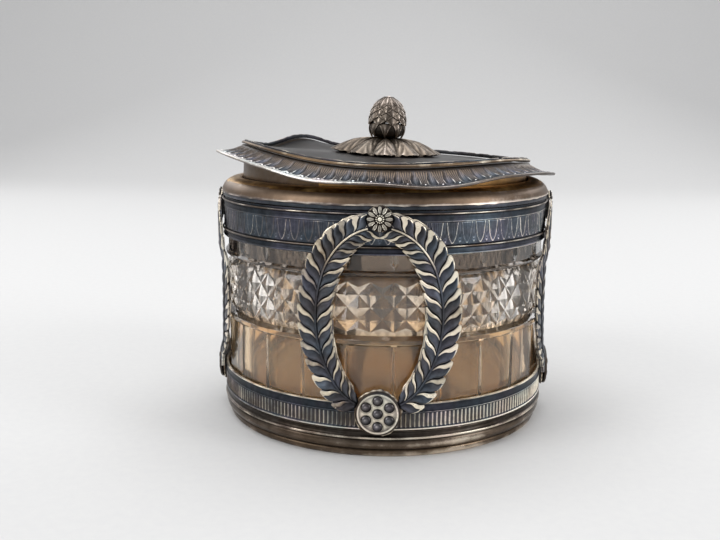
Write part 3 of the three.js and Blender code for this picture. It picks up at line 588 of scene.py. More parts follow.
def lower_band_mesh():
    """Fascia, fine upright flutes and the fillets beside them."""
    steps = 6
    count = FLUTES * steps
    angle = around(count)
    rib = smooth(0.45, 0.95, np.abs((np.arange(count) % steps) / steps - 0.5) * 2)
    # Radius, height, wear, warm and share of the flutes
    rows = np.array([
        (56.85, 9.3, 0.3, 0.4, 0), (57.6, 9.3, 0.5, 0.4, 0), (57.75, 9.45, 0.85, 0.4, 0),
        (57.72, 9.75, 0.8, 0.4, 0), (57.5, 9.9, 0.1, 0.3, 0), (57.42, 10.1, 0.15, 0.2, 0.3),
        (57.42, 10.35, 0.22, 0.75, 1), (57.42, 10.8, 0.22, 0.75, 1), (57.42, 12.4, 0.22, 0.65, 1),
        (57.42, 14.0, 0.2, 0.5, 1), (57.42, 14.45, 0.2, 0.4, 1), (57.42, 14.7, 0.15, 0.3, 0.3),
        (57.5, 14.85, 0.25, 0.2, 0), (57.72, 14.98, 0.6, 0.3, 0), (57.7, 15.12, 0.5, 0.3, 0),
        (57.45, 15.25, 0.06, 0.1, 0), (57.4, 15.5, 0.14, 0.1, 0), (57.4, 16.5, 0.17, 0.1, 0),
        (57.42, 17.2, 0.14, 0.1, 0), (57.62, 17.45, 0.35, 0.2, 0), (57.7, 17.65, 0.75, 0.6, 0),
        (57.5, 17.8, 0.8, 0.8, 0), (56.85, 17.8, 0.9, 1.0, 0), (56.85, 13.5, 0.9, 1.0, 0),
    ])
    radius, height, worn, warm, fluted = rows.T[:, :, None]
    cut = fluted * (1 - rib) * 0.34
    radius = radius - cut + fluted * rib * 0.12 - 0.03
    # Painted highlight: lighter on the right, with a painted glare at the front right
    painted_glare = 0.14 * bell(angle - 0.5, 0.22)
    rub_and_highlight = 0.58 + 0.3 * ragged(angle, 2.0) + 0.12 * np.sin(angle) + painted_glare
    upper_edge = height > 17.4
    side = 0.35 * np.sin(angle) * ~upper_edge + 0.5 * (ragged(angle, 5.0) - 0.4) * upper_edge
    wear = worn * (1 + side) + fluted * (0.85 * rib * rub_and_highlight + 0.06)
    shape = Shape()
    shape.grid(polar(angle, radius, height), wear, warm, loop=True)
    return shape.mesh("lower_band", 50)


def water_leaves(angle, across, stroke, u):
    """Relief, wear and warm of long tongues with a raised outline, veins and small beads between the tips."""
    # half-width of a tongue as a share of its place: wide above, drawn in and pointed below
    half = np.interp(u, [0.05, 0.1, 0.2, 0.32, 0.5, 0.7, 1.0], [0.0, 0.07, 0.15, 0.22, 0.28, 0.31, 0.37])
    edge = np.abs(across)[None, :]
    gap = 0.5 - edge
    ridge = bell(edge - half, 0.03) * (u > 0.06)
    veins = np.cos(TURN * edge / 0.115) * (edge < half - 0.04) * smooth(0.3, 0.5, u) * 0.7
    loop = 0.12 * np.sqrt(unit(1 - ((0.34 - np.minimum(u, 0.34)) / 0.2) ** 2))
    inner = bell(gap - loop, 0.022) * (u > 0.15) * smooth(0.5, 0.42, u) * 0.6
    inner = inner + bell(gap, 0.025) * smooth(0.42, 0.52, u) * 0.6
    beads = dots_at(gap, u - 0.12, 0.07, 0.04) + 0.8 * dots_at(gap, u - 0.27, 0.05, 0.03)
    tips = dots_at(edge, u - 0.07, 0.06, 0.03) * 0.9
    middle = np.where(edge < half, 0.1 * (1 - (edge / np.maximum(half, 0.02)) ** 2), -0.06)
    relief = 0.16 * ridge + 0.07 * inner + 0.03 * veins + 0.2 * beads + 0.12 * tips + 0.6 * middle
    fade = smooth(0, 0.05, u) * smooth(0, 0.04, 1 - u)
    # Painted highlight: the ground and the beads are lighter towards the right.
    right = np.sin(angle)
    ground = 0.29 + 0.08 * smooth(0.0, 0.8, right)
    dots = 0.2 + 0.2 * smooth(-0.2, 0.5, right)
    wear = ground + 0.5 * stroke * ridge + 0.38 * inner * stroke + 0.2 * veins + dots * (beads + tips)
    top_line = bell(u - 0.985, 0.012) * ragged(angle, 6.0) * 0.8
    wear = unit(wear) * fade + 0.12 * (1 - fade) + top_line
    return relief * fade, wear, 0.1 + mix(0.75, 0.25, smooth(-0.4, 0.3, right)) * ridge


def upper_band_mesh():
    """Fascia, frieze of water leaves and the cove over it."""
    steps = 22
    count = WATER_LEAVES * steps
    angle = around(count)
    across = (np.arange(count) % steps) / steps - 0.5
    heights = np.linspace(FRIEZE_LOW, FRIEZE_HIGH, 44)[:, None]
    u = (heights - FRIEZE_LOW) / (FRIEZE_HIGH - FRIEZE_LOW)
    # some strokes are rubbed more than others, and all of them are lighter on the right, a painted highlight
    stroke = 0.75 + 0.35 * np.sin(7.3 * np.floor(np.arange(count) / (steps / 2))) + 0.25 * np.sin(angle)
    relief, worn, tint = water_leaves(angle, across, stroke, u)
    # Radius, height, wear and warm of the plain rows
    below = [
        (56.85, 70.0, 0.9, 1.0), (56.85, 64.4, 0.9, 1.0), (57.5, 64.4, 0.6, 0.7), (57.7, 64.6, 0.55, 0.3),
        (57.66, 64.9, 0.3, 0.1), (57.35, 65.05, 0.1, 0.1), (57.3, 65.5, 0.2, 0.0), (57.3, 66.3, 0.18, 0.0),
        (57.1, 66.5, 0.1, 0.0), (57.1, 67.2, 0.1, 0.0),
    ]
    above = [
        (57.3, 74.38, 0.1, 0.2), (57.42, 74.5, 0.55, 0.4), (57.4, 74.65, 0.45, 0.3),
        (57.25, 74.8, 0.16, 0.0), (57.25, 75.6, 0.17, 0.0), (57.22, 76.4, 0.15, 0.0), (57.1, 76.55, 0.1, 0.0),
        (57.1, 77.3, 0.1, 0.1), (56.95, 77.8, 0.15, 0.3), (56.85, 77.8, 0.3, 0.6),
    ]
    # Painted highlight: the plain rows' wear rises towards the right.
    plain = [1, 1, 1 + 0.4 * np.sin(angle), 1]
    frieze = [FRIEZE + relief, heights + 0 * angle, worn, tint]
    radius, height, wear, warm = (
        np.concatenate([np.array([[row[k]] * count for row in below]) * plain[k], frieze[k],
                        np.array([[row[k]] * count for row in above]) * plain[k]]) for k in range(4))
    shape = Shape()
    shape.grid(polar(angle, radius - 0.02, height), wear, warm, loop=True)
    return shape.mesh("upper_band", 60)


def fillet_mesh(base):
    """A half-round wire, rubbed a little above its middle, where it faces up, with a painted highlight there.
    """
    outline = []
    for k in range(10):
        a = -1.35 + 2.7 * k / 9
        shine = 0.22 + 0.68 * bell(a - 0.3, 0.42)
        outline.append([FILLET + FILLET_HALF * math.cos(a), base + 0.35 + FILLET_HALF * math.sin(a),
                        shine, 0.55])
    outline += [[FILLET - 0.2, base + 0.68, 0.3, 0.3], [FILLET - 0.2, base + 0.02, 0.3, 0.3]]

    def wobble(angle, radius, height):
        return radius + 0.02 * np.sin(31 * angle + base), height + 0.03 * np.sin(5 * angle + base)

    def rub(angle, wear):
        return wear * (0.55 + 0.5 * ragged(angle, base))

    return turned(outline, COLUMNS, wobble, rub).mesh("fillet", 60)


def shoulder_mesh():
    """Dark fascia, worn rim and dome, with the collar that stands in the crystal's mouth."""
    outline = [
        [57.5, 78.1, 0.15, -0.4], [57.6, 78.2, 0.2, -0.4], [57.62, 78.8, 0.24, -0.4], [57.6, 79.2, 0.2, -0.4],
        [57.85, 79.32, 0.45, 0.4], [58.08, 79.45, 0.95, 0.3], [58.06, 79.7, 1.0, 0.3], [58.0, 79.9, 0.6, 0.5],
    ]
    # Painted light: the shoulder's dome is lighter towards its top, against the shade under the lid.
    for k in range(1, 15):
        a = math.pi / 2 * k / 14
        shine = 0.42 + 0.22 * smooth(0.5, 1.1, a) + 0.05 * math.sin(9 * a)
        outline.append([SHOULDER + SHOULDER_WIDTH * math.cos(a) ** 0.9,
                        SHOULDER_BASE + SHOULDER_RISE * math.sin(a) ** 1.1, shine, 0.8])
    outline += [
        [51.6, 84.25, 0.8, 0.6], [51.25, 84.1, 0.75, 0.6], [51.02, 83.7, 0.6, 0.8], [51.02, 76.0, 0.7, 1.0],
        [51.02, 69.85, 0.7, 1.0], [51.68, 69.85, 0.9, 1.0], [51.68, 78.1, 0.9, 1.0],
    ]

    def wobble(angle, radius, height):
        outer = smooth(53, 56, radius)
        rim = bell(height - 79.45, 0.3) * outer
        dent = 0.09 * np.sin(2 * angle + 0.5) + 0.06 * np.sin(5 * angle + 2) + 0.03 * np.sin(13 * angle)
        nicks = 0.12 * unit(np.sin(47 * angle) * np.sin(29 * angle + 1) + 0.3 * np.sin(83 * angle))
        sag = 0.22 * unit(np.sin(23 * angle + 2) * np.sin(37 * angle))
        height = height - rim * sag + 0.05 * outer * np.sin(7 * angle)
        return radius + outer * (dent - 0.16) - rim * nicks, height

    def rub(angle, wear):
        """The rim is worn bright, with a painted highlight along it on the right, and broken by tarnish on
        the left.
        """
        rim = smooth(0.68, 0.9, wear)
        return wear - rim * 0.55 * (1 - ragged(angle, 3.0)) * (1 - 0.8 * smooth(-0.1, 0.5, np.sin(angle)))

    def painted_gold_glint(x, y, z):
        """A painted golden reflection, in the gap under the lid, runs over the lip in an uneven line."""
        return z > 83.0 + 0.25 * math.sin(5 * math.atan2(x, -y))

    mesh = turned(outline, 512, wobble, rub).mesh("shoulder", 50)
    return second_finish(mesh, [silver_shoulder, gilt_and_painted_glint], painted_gold_glint)


# Wreaths: each arm is a ribbon of nested leaves, worked flat and bent round the drum

# One leaf, from the cut under it to the next leaf's: place in its face or in its turned margin,
# height over the sheet and wear. The wear is 0 in the cut under the face as painted shadow, and
# peaks low in the face as a painted highlight that fades towards its top
FACE = [(0.0, 0.05, 0.0), (0.035, 0.2, 0.0), (0.055, 0.36, 0.3), (0.08, 0.46, 0.56), (0.12, 0.55, 0.32),
        (0.2, 0.66, 0.33), (0.31, 0.74, 0.37), (0.44, 0.74, 0.33), (0.58, 0.67, 0.27), (0.72, 0.55, 0.22),
        (0.84, 0.42, 0.16), (0.91, 0.3, 0.04), (0.95, 0.3, 0.3), (1.0, 0.36, 0.8)]
MARGIN = [(0.08, 0.32, 0.86), (0.3, 0.33, 0.93), (0.6, 0.32, 0.93), (0.86, 0.28, 0.88), (1.0, 0.2, 0.4)]
OUT_STEPS = [0.0, 0.03, 0.08, 0.15, 0.23, 0.32, 0.42, 0.52, 0.61, 0.7, 0.78, 0.85, 0.91, 0.955, 0.985, 1.0]


def stem_at(t, side):
    """Place and direction on an arm's stem, from 0 at the foot of the wreath to 1 at its top."""
    angle = (ARM_START + ARM_SWEEP * t) * DEG
    x = side * HALF_WIDTH * np.sin(angle)
    y = WREATH_MIDDLE - HALF_HEIGHT * np.cos(angle)
    dx = side * HALF_WIDTH * np.cos(angle)
    dy = HALF_HEIGHT * np.sin(angle)
    size = np.hypot(dx, dy)
    return x, y, dx / size, dy / size


def leaf_reach(phase):
    """Silhouette of the nested leaves along an arm, as a share of a tip's reach."""
    rise = np.sqrt(unit(1 - (1 - unit(phase / 0.55)) ** 2))
    return 0.8 + 0.2 * rise - 0.2 * unit((phase - 0.72) / 0.28) ** 1.5


def leaf_rows(worn):
    """Phase, height and wear of every row of one leaf over the steps outwards; worn widens the margin."""
    out = np.array(OUT_STEPS)
    edge = 0.84 - (0.24 + 0.07 * worn) * smooth(0.0, 0.8, out) - (0.1 + 0.08 * worn) * smooth(0.84, 1.0, out)
    cut = 0.955
    dome = (1 - (1 - out) ** 5) * (1 - 0.85 * out ** 7)
    phase, height, wear = [], [], []
    for share, level, shine in FACE:
        phase.append(0.035 + (edge - 0.035) * share)
        height.append(0.3 * min(level / 0.3, 1) + max(level - 0.3, 0) * dome)
        wear.append(1.12 * shine + (0.6 + 0.15 * worn) * smooth(0.89 - 0.02 * worn, 0.96, out) * (share > 0))
    for share, level, shine in MARGIN:
        phase.append(edge + (cut - edge) * share)
        height.append(level + 0.1 * out * (share < 1))
        wear.append(shine * (0.75 + 0.25 * smooth(0, 0.3, out)))
    # The rows at both ends lie in the cut between leaves, black as painted shadow.
    phase = [0 * out, *phase, 0 * out + 0.975]
    height = [0 * out + 0.05, *height, 0 * out + 0.05]
    wear = [0 * out, *wear, 0 * out]
    return np.array(phase), np.array(height), np.array(wear)


def leaf_wing(side, wing, number, phases, heights, wears):
    """One row of leaves beside the stem, with solder along its outer edge, as flat points and wear."""
    share = np.array(OUT_STEPS)
    t = (number + phases) / LEAVES
    taper = 1 - 0.26 * (1 - np.sin(np.pi * t)) - 0.12 * smooth(0.65, 0.95, t)
    reach = LEAF_REACH * taper * leaf_reach(phases)
    at, last = t[:, -1:], reach[:, -1:]
    # Solder fills the notches outside the upper leaves and inside the lower ones
    spill = smooth(0.6, 0.8, at)
    if wing * side < 0:
        spill = 1.1 * smooth(0.55, 0.3, at) + 0.5 * smooth(0.75, 0.95, at)
    spill = spill * (0.72 + 0.18 * np.sin(61 * at + side) + 0.1 * np.sin(143 * at))
    filled = np.maximum(LEAF_REACH * taper[:, -1:] * 0.97 + 0.55 * spill, last + 0.1)
    ledge = mix(last + 0.06, filled, unit(1.6 * spill))
    leaf = STEM_HALF + (reach - STEM_HALF) * share
    out = np.concatenate([leaf, last + 0.03, mix(last, ledge, 0.5), ledge, ledge], 1)
    along = (out - STEM_HALF) / math.tan(LEAN) * 0.93
    along[:, :-4] += 0.4 * np.sin(TURN * share) * (reach / 6)
    level = np.concatenate([SHEET + heights, np.tile([0.3, 0.26, 0.16, 0.02], (len(t), 1))], 1)
    x, y, tx, ty = (value[:, [*range(len(share)), -1, -1, -1, -1]] for value in stem_at(t, side))
    # Painted reflection: the worn margins of the left arm are made duller than those of the right arm.
    rub = np.where(side < 0, 0.86, 1.04) * (0.9 + 0.1 * np.sin(11 * number + 2 * side))
    solder = unit(0.74 + 0.22 * np.sin(9 * at + side) * np.sin(31 * at))
    worn = np.where(wears > 0.5, wears * rub, wears)
    wear = np.concatenate([worn, 0.55 * solder, solder, solder, 0.6 * solder], 1)
    return np.stack([x + ty * wing * out + tx * along, y - tx * wing * out + ty * along, level], -1), wear


def stem_ridge(side, number, phases):
    """The raised stem between the two rows of leaves."""
    width = np.array([[-0.47, -0.4, -0.3, -0.17, 0, 0.17, 0.3, 0.4, 0.47]])
    t = (number + phases[:, :1]) / LEAVES
    x, y, tx, ty = stem_at(t, side)
    bulge = np.sqrt(unit(1 - (width / 0.45) ** 2))
    level = SHEET + 0.1 + 0.62 * bulge
    shine = 0.3 + 0.45 * smooth(0.55, 0.8, t)
    wear = 0.02 + shine * smooth(0.5, 0.95, bulge)
    return np.stack([x + ty * width, y - tx * width, level + 0 * x], -1), wear


def wreath_mesh():
    """Two arms of nested leaves, and the pads under the rosette and the medallion."""
    shape = Shape()
    leaves = [leaf_rows(float(smooth(LEAVES - 6.5, LEAVES - 3.0, k))) for k in range(LEAVES)]
    number = np.append(np.repeat(np.arange(LEAVES), len(leaves[0][0])), LEAVES)[:, None]
    rows = [np.concatenate([leaf[k] for leaf in leaves] + [leaves[-1][k][:1]]) for k in range(3)]
    for side in (-1, 1):
        low, low_wear = leaf_wing(side, -1, number, *rows)
        stem, stem_wear = stem_ridge(side, number, rows[0])
        high, high_wear = leaf_wing(side, 1, number, *rows)
        points = np.concatenate([low[:, ::-1], stem, high], 1)
        wear = np.concatenate([low_wear[:, ::-1], stem_wear, high_wear], 1)
        # Under the rosette and the medallion the leaves lie pressed flat
        for centre, radius in ((ROSETTE_Z, ROSETTE), (MEDALLION_Z, MEDALLION)):
            away = np.hypot(points[..., 0], points[..., 1] - centre)
            free = smooth(radius - 0.1, radius + 0.5, away)
            points[..., 2] = mix(np.minimum(points[..., 2], SHEET), points[..., 2], free)
            wear = mix(0.1, wear, free)
        warm = 0.1 + 0.8 * smooth(0.4, 0.8, wear) * (1.1 if side < 0 else 0.85)
        shape.loft(bent(points), wear, warm)
    disc(shape, ROSETTE_Z, ROSETTE, 0.3)
    disc(shape, MEDALLION_Z, MEDALLION, 0.85)
    return weld(shape.mesh("wreath", 55), 55)


def bent(points):
    """Bends the flat work round the drum, drawn in over the glass between the bands."""
    z = points[..., 1]
    low, high = LOWER_TOP + 3, UPPER_BASE - 3
    back = WREATH - DRAWN * (smooth(low, low + 6, z) - smooth(high - 6, high, z))
    return polar(points[..., 0] / WREATH, back + points[..., 2], z)


def disc(shape, centre, radius, crust, count=96):
    """Pad under a fixing, with a ragged crust of solder round it."""
    angle = around(count)
    ragged_edge = 0.55 + 0.25 * np.sin(5 * angle + 1) + 0.2 * np.sin(11 * angle) * np.sin(7 * angle + 2)
    # Radius without the crust, share of the crust, height and wear
    rows = [
        (0.02, 0.0, 0.0, 0.3), (radius, 0.0, 0.0, 0.3), (radius, 1.0, 0.03, 0.6), (radius, 1.0, 0.14, 0.75),
        (radius, 0.7, 0.34, 0.8), (radius, 0.25, 0.5, 0.7), (radius - 0.25, 0.0, SHEET, 0.2),
        (0.02, 0.0, SHEET, 0.15),
    ]
    inner, share, level, shine = np.array(rows).T[:, :, None]
    r = inner + crust * share * ragged_edge
    level = level + 0.05 * np.sin(17 * angle) * share
    points = np.stack([r * np.cos(angle), centre + r * np.sin(angle), level], -1)
    wear = shine * (0.8 + 0.3 * np.sin(9 * angle + 2) * np.sin(13 * angle))
    shape.grid(bent(points), unit(wear), 0.85)


# Rosettes and medallions, worked as height over a disc; both are joined to a short pin

def face_on(radius, angle, height, level):
    """Points over a disc that stands on the front of the wreath."""
    x = radius * np.sin(angle)
    z = level + radius * np.cos(angle)
    return np.stack(np.broadcast_arrays(x, -(FIXING + height), z), -1)


def pin(shape, level):
    angle = -np.arange(16) * TURN / 16
    length = BAND_INNER + FIT - FIXING
    rows = [(0.01, length), (0.7, length), (0.7, 0.0)]
    shape.grid(np.array([face_on(r, angle, h, level) for r, h in rows])[::-1], 0.4, 0.5)


def rosette_mesh():
    """Twelve petals with rolled edges round a ring of small beads and a boss."""
    petals = 12
    count = petals * 16
    angle = -np.arange(count) * TURN / count
    across = np.abs(((angle * petals / TURN + 0.5) % 1) - 0.5) * 2
    rows = np.concatenate([[0.0, 0.03], np.linspace(0.07, 0.4, 14), np.linspace(0.43, 1.0, 18)])
    rho = rows[::-1][:, None]
    edge = ROSETTE * (0.9 + 0.1 * np.sqrt(unit(1 - across ** 2)))
    boss = np.sqrt(unit(1 - (rho / 0.2) ** 2))
    bead = np.sqrt(unit(1 - (across / 0.75) ** 2 - ((rho - 0.29) / 0.085) ** 2))
    q = unit((rho - 0.4) / 0.6)
    half = 0.82 * np.sin(np.pi * unit(q * 0.82 + 0.1)) ** 0.6
    inside = smooth(0.0, 0.22, half - across)
    rolled = 0.62 + 0.3 * bell(across - half + 0.16, 0.14)
    petal = inside * rolled * smooth(0.0, 0.12, q) * (1 - 0.4 * smooth(0.9, 1, q))
    height = 0.22 + petal * 0.55 + 0.75 * boss + 0.55 * bead
    wear = 0.03 + 0.95 * petal + 0.95 * smooth(0.3, 0.7, boss) + 0.95 * smooth(0.2, 0.7, bead)
    shape = Shape()
    shape.grid(face_on(edge * rho, angle, height, ROSETTE_Z), unit(wear), 0.55)
    side = [(edge * 0 + 0.01, 0.0), (edge, 0.0), (edge, height[0])]
    shape.grid(np.array([face_on(r, angle, h, ROSETTE_Z) for r, h in side]), 0.2, 0.5)
    pin(shape, ROSETTE_Z)
    return weld(shape.mesh("rosette", 60))


BEAD = 1.86
BEADS = 6
BEAD_RING = 4.15


def on_bead(x, y, z):
    """Whether a place on the medallion is on the dome of one of its seven beads."""
    step = TURN / BEADS
    away, way = math.hypot(x, z - MEDALLION_Z), math.atan2(x, z - MEDALLION_Z)
    near = way - step * round(way / step)
    from_bead = min(away, math.hypot(away * math.cos(near) - BEAD_RING, away * math.sin(near)))
    return y < -FIXING - 0.55 and from_bead < 0.9 * BEAD


def medallion_mesh():
    """A disc with a raised rim and seven beads."""
    angle = -np.arange(96) * TURN / 96
    rows = [
        (0.01, 0.0, 0.1), (6.6, 0.0, 0.1), (6.95, 0.1, 0.3), (6.99, 0.45, 0.3), (6.92, 0.72, 0.24),
        (6.72, 0.84, 0.14), (6.5, 0.84, 0.3), (6.38, 0.8, 0.95), (6.1, 0.66, 0.95), (5.85, 0.52, 0.6),
        (4.5, 0.5, 0.85), (2.2, 0.5, 0.85), (0.01, 0.5, 0.85),
    ]
    shape = Shape()
    points = np.array([face_on(r + 0 * angle, angle, h, MEDALLION_Z) for r, h, _ in rows])
    shape.grid(points, np.array([[w] for _, _, w in rows]), 0.5)
    bead(shape, 0.0, 0.0, BEAD)
    for k in range(BEADS):
        way = k * TURN / BEADS
        bead(shape, BEAD_RING * math.sin(way), BEAD_RING * math.cos(way), BEAD)
    pin(shape, MEDALLION_Z)
    return second_finish(weld(shape.mesh("medallion", 60)), [silver_dark, silver_bead], on_bead)


def bead(shape, x, z, radius):
    """A domed bead in a sunk ring, rubbed over its dome, with a painted highlight strongest towards its upper
    left.
    """
    angle = -np.arange(28) * TURN / 28
    rows = [
        (1.08, 0.3, 0.3), (1.06, 0.6, 0.8), (1.02, 0.55, 0.4), (0.98, 0.4, 0.0), (0.94, 0.42, 0.0),
        (0.9, 0.62, 0.02), (0.84, 0.86, 0.1), (0.74, 1.08, 0.2), (0.6, 1.27, 0.3), (0.42, 1.4, 0.42),
        (0.24, 1.46, 0.56), (0.12, 1.48, 0.6), (0.01, 1.48, 0.6),
    ]
    share, height, worn = np.array(rows).T[:, :, None]
    points = face_on(radius * share, angle, height, MEDALLION_Z)
    points[..., 0] += x
    points[..., 2] += z
    rub_and_highlight = worn * (1 + np.minimum(1.0, 1.6 * share) * np.cos(angle + 0.7))
    shape.grid(points, unit(0.8 * rub_and_highlight), 0.2)


# Lid, worked level with its lip at height 0, then bent and set askew as the old lid is

BENDS = [(-62, 62, 4.1), (57, 55, 3.0), (-28, 61, -2.0), (-137, 25, 5.2)]
RIPPLES = [(-22, 17, -0.7), (19, 23, -1.7)]


def bumps(bends, angle):
    """Height of smooth bends, each given by its middle, its reach and its height."""
    rise = np.zeros_like(angle)
    for at, reach, height in bends:
        away = np.abs(np.arctan2(np.sin(angle - at * DEG), np.cos(angle - at * DEG)))
        bump = height * 0.5 * (1 + np.cos(np.pi * away / (reach * DEG)))
        rise = rise + np.where(away < reach * DEG, bump, 0)
    return rise


def seat_lid(points):
    """Bends the lid's points and moves them to where it stands in the mouth."""
    x, y, z = points[..., 0], points[..., 1], points[..., 2]
    r = np.hypot(x, y)
    angle = np.arctan2(x, -y)
    rim = np.clip((r - WIRE) / (LIP - WIRE), 0, None)
    z = z + bumps(BENDS, angle) * (r / LIP) ** 2 + bumps(RIPPLES, angle) * rim
    c, s = math.cos(LID_TILT), math.sin(LID_TILT)
    return np.stack([x * c + z * s, y, LID_LEVEL - x * s + z * c], -1)


def flange_height(radius):
    u = (LIP - radius) / (LIP - WIRE)
    return 0.8 + (FLANGE_RISE - 0.8) * u - 0.9 * np.sin(np.pi * u)


def ragged(angle, seed=0.0):
    """Uneven rubbing round the axis, from 0 to 1, lifted a little on the right as a painted highlight."""
    waves = np.sin(13 * angle + seed) + np.sin(29 * angle + 2 * seed) + np.sin(47 * angle + 5 * seed)
    return unit(0.42 + 0.2 * np.sin(angle) + 0.2 * waves)


def lid_turned(outline, count=256, wobble=None, rub=None):
    """A turned piece of the lid, moved to where the lid stands."""
    shape = turned(outline, count, wobble, rub)
    shape.points = [seat_lid(block) for block in shape.points]
    return shape


def border_relief(angle, across, u):
    """Lift, wear and warm over the upper face of the border, with u at 0 beside the wire and 1 at the lip."""
    half = 0.09 + 0.17 * smooth(0.0, 0.5, u)
    half = half * np.sqrt(unit(1 - (unit(u - 0.68) / 0.15) ** 2))
    inside = unit(1 - (across / np.maximum(half, 1e-3)) ** 2) * (half > 0.002)
    beside = unit((across - half) / (0.5 - half))
    stripes = bell(np.mod(beside * 2.5, 1.0) - 0.5, 0.18)
    stripes = stripes * (smooth(0.0, 0.08, u) * (1 - smooth(0.6, 0.76, u)) * (inside <= 0))
    hidden = bell(np.mod(across / 0.1, 1.0) - 0.5, 0.2) * (inside > 0)
    stripes = stripes + 0.7 * (hidden * smooth(0.0, 0.08, u) * smooth(0.62, 0.3, u))
    rim = bell(across - half - 0.02, 0.022) * (u < 0.83) * smooth(0.3, 0.6, u)
    tip_rim = bell(u - 0.845, 0.014) * bell(across, 0.14)
    spot = np.sqrt(((0.5 - across) / 0.11) ** 2 + ((u - 0.79) / 0.06) ** 2)
    bead_rise = bell(spot, 0.62)
    ring = bell(spot - 1.05, 0.28)
    lift = -0.5 * inside * smooth(0.0, 0.3, u) + 0.1 * rim + 0.1 * tip_rim + 0.1 * stripes
    lift = lift + 0.24 * bead_rise - 0.16 * ring
    # the left half is white down to the beads, rubbed and with a painted highlight, the right half is rubbed
    # only along the lip
    left = left_half(angle)
    lipped = smooth(mix(0.76, 0.66, left), mix(0.84, 0.74, left), u) * (inside <= 0)
    bare_and_highlight = left * (0.75 + 0.25 * ragged(angle, 8.0))
    wear = 0.2 + 0.3 * stripes + 0.1 * inside + 0.6 * rim + 0.5 * tip_rim
    wear = mix(wear, mix(0.36, 0.95, bare_and_highlight), lipped)
    wear = wear + mix(0.6, 0.1, left) * bead_rise - mix(0.45, 0.9, left) * ring
    wear = mix(unit(wear), mix(0.66, 0.95, bare_and_highlight), smooth(mix(0.93, 0.86, left), 0.96, u))
    warm = 0.15 + 0.85 * stripes + 0.35 * smooth(0.4, 0.0, u) - 0.3 * inside ** 0.5
    warm = mix(warm, mix(0.7, 0.1, left), smooth(0.9, 0.95, u))
    return lift * (1 - smooth(0.955, 0.99, u)), wear, warm


def left_half(angle):
    """1 over the left half of the lid and 0 over the right."""
    return smooth(0.35, 0.6, 0.5 + 0.5 * np.sin(-angle - 0.15))


def flange_mesh():
    """Flutes that end in a round U near the lip, with stripes between them that run to a bead."""
    steps = np.array([0.0, 0.055, 0.11, 0.15, 0.175, 0.2, 0.225, 0.25,
                      0.28, 0.31, 0.34, 0.37, 0.4, 0.425, 0.45, 0.475])
    steps = np.concatenate([steps, [0.5], 1 - steps[:0:-1]])
    angle = (np.repeat(np.arange(TONGUES), len(steps)) + np.tile(steps, TONGUES)) * TURN / TONGUES
    across = np.tile(np.minimum(steps, 1 - steps), TONGUES)
    u = np.concatenate([np.linspace(0, 0.66, 14), np.linspace(0.7, 0.95, 17), [0.97, 0.985, 1.0]])[:, None]
    face = mix(WIRE + 0.95, LIP - 0.25, u)
    lift, wear, warm = border_relief(angle, across, u)
    radii, heights, wears, warms = [face + 0 * angle], [flange_height(face) + lift], [wear], [warm]
    # Round the lip and back underneath: radius, height or None for the curve of the sheet, and wear; along
    # the lip the wear is higher over the left half, a painted highlight
    under = [
        (LIP - 0.1, 0.72, 0.8), (LIP, 0.45, 0.7), (LIP - 0.05, 0.12, 0.45), (LIP - 0.35, 0.0, 0.2),
        (LIP - 1.6, 0.05, 0.15), (LIP - 3.5, None, 0.35), (LIP - 6.5, None, 0.35), (WIRE, 3.4, 0.3),
        (48.36, 3.4, 0.3), (48.36, 4.05, 0.3), (WIRE - 0.6, 4.1, 0.2), (WIRE + 0.6, 4.05, 0.15),
    ]
    for r, z, worn in under:
        lip = r > LIP - 0.5
        level = flange_height(r) - LID_SHEET - 0.55 if z is None else z
        radii.append(r + 0 * angle[None, :])
        heights.append(level + 0 * angle[None, :])
        wears.append(worn * (mix(0.55, 1.0, left_half(angle)) if lip else 1.0) + 0 * angle[None, :])
        warms.append((0.7 if lip else 1.0) + 0 * angle[None, :])
    radius, height, wear, warm = (np.concatenate(rows)[::-1] for rows in (radii, heights, wears, warms))
    shape = Shape()
    shape.grid(seat_lid(polar(angle, radius, height)), wear, warm, loop=True)
    return shape.mesh("flange", 60)


def wire_mesh():
    """Two mouldings with a groove between them, the outer one brown, the inner one rubbed along its top."""
    base = flange_height(WIRE) + FIT
    half = WIRE_WIDTH / 2
    # Place across the wire from its middle as a share of half its width, height, wear and warm
    rows = [
        (1, 0.45, 0.5, 0.95), (0.7, 0.85, 0.55, 1.0), (0.42, 0.98, 0.48, 0.9), (0.25, 0.7, 0.02, 0.2),
        (-0.02, 0.85, 0.06, 0.0), (-0.12, 1.36, 0.3, 0.2), (-0.3, 1.46, 0.95, 0.7), (-0.6, 1.46, 0.6, 0.6),
        (-0.85, 1.3, 0.2, 0.2), (-1, 0.9, 0.1, 0.2), (-1, 0, 0.1, 0.2),
    ]
    outline = [[WIRE + half - 0.05, base + 0.02, 0.4, 0.8]]
    outline += [[WIRE + share * half, base + rise, wear, warm] for share, rise, wear, warm in rows]

    def wobble(angle, radius, height):
        top = smooth(base + 1.2, base + 1.45, height)
        nicks = unit(np.sin(61 * angle) * np.sin(23 * angle + 1) * np.sin(9 * angle))
        return radius, height - 0.35 * top * nicks

    def rub(angle, wear):
        even = mix(0.85, 0.2, smooth(0.7, 1.0, wear))
        return wear * (even + 0.95 * ragged(angle, 4.0) ** 1.5 * smooth(0.2, 0.9, wear))

    return lid_turned(soften(outline, 0.12, 3), COLUMNS, wobble, rub).mesh("wire", 55)


def dome_fall(radius):
    """How far the dome lies below its top at a distance from the axis."""
    return DOME_RISE * (radius / DOME_EDGE) ** 2


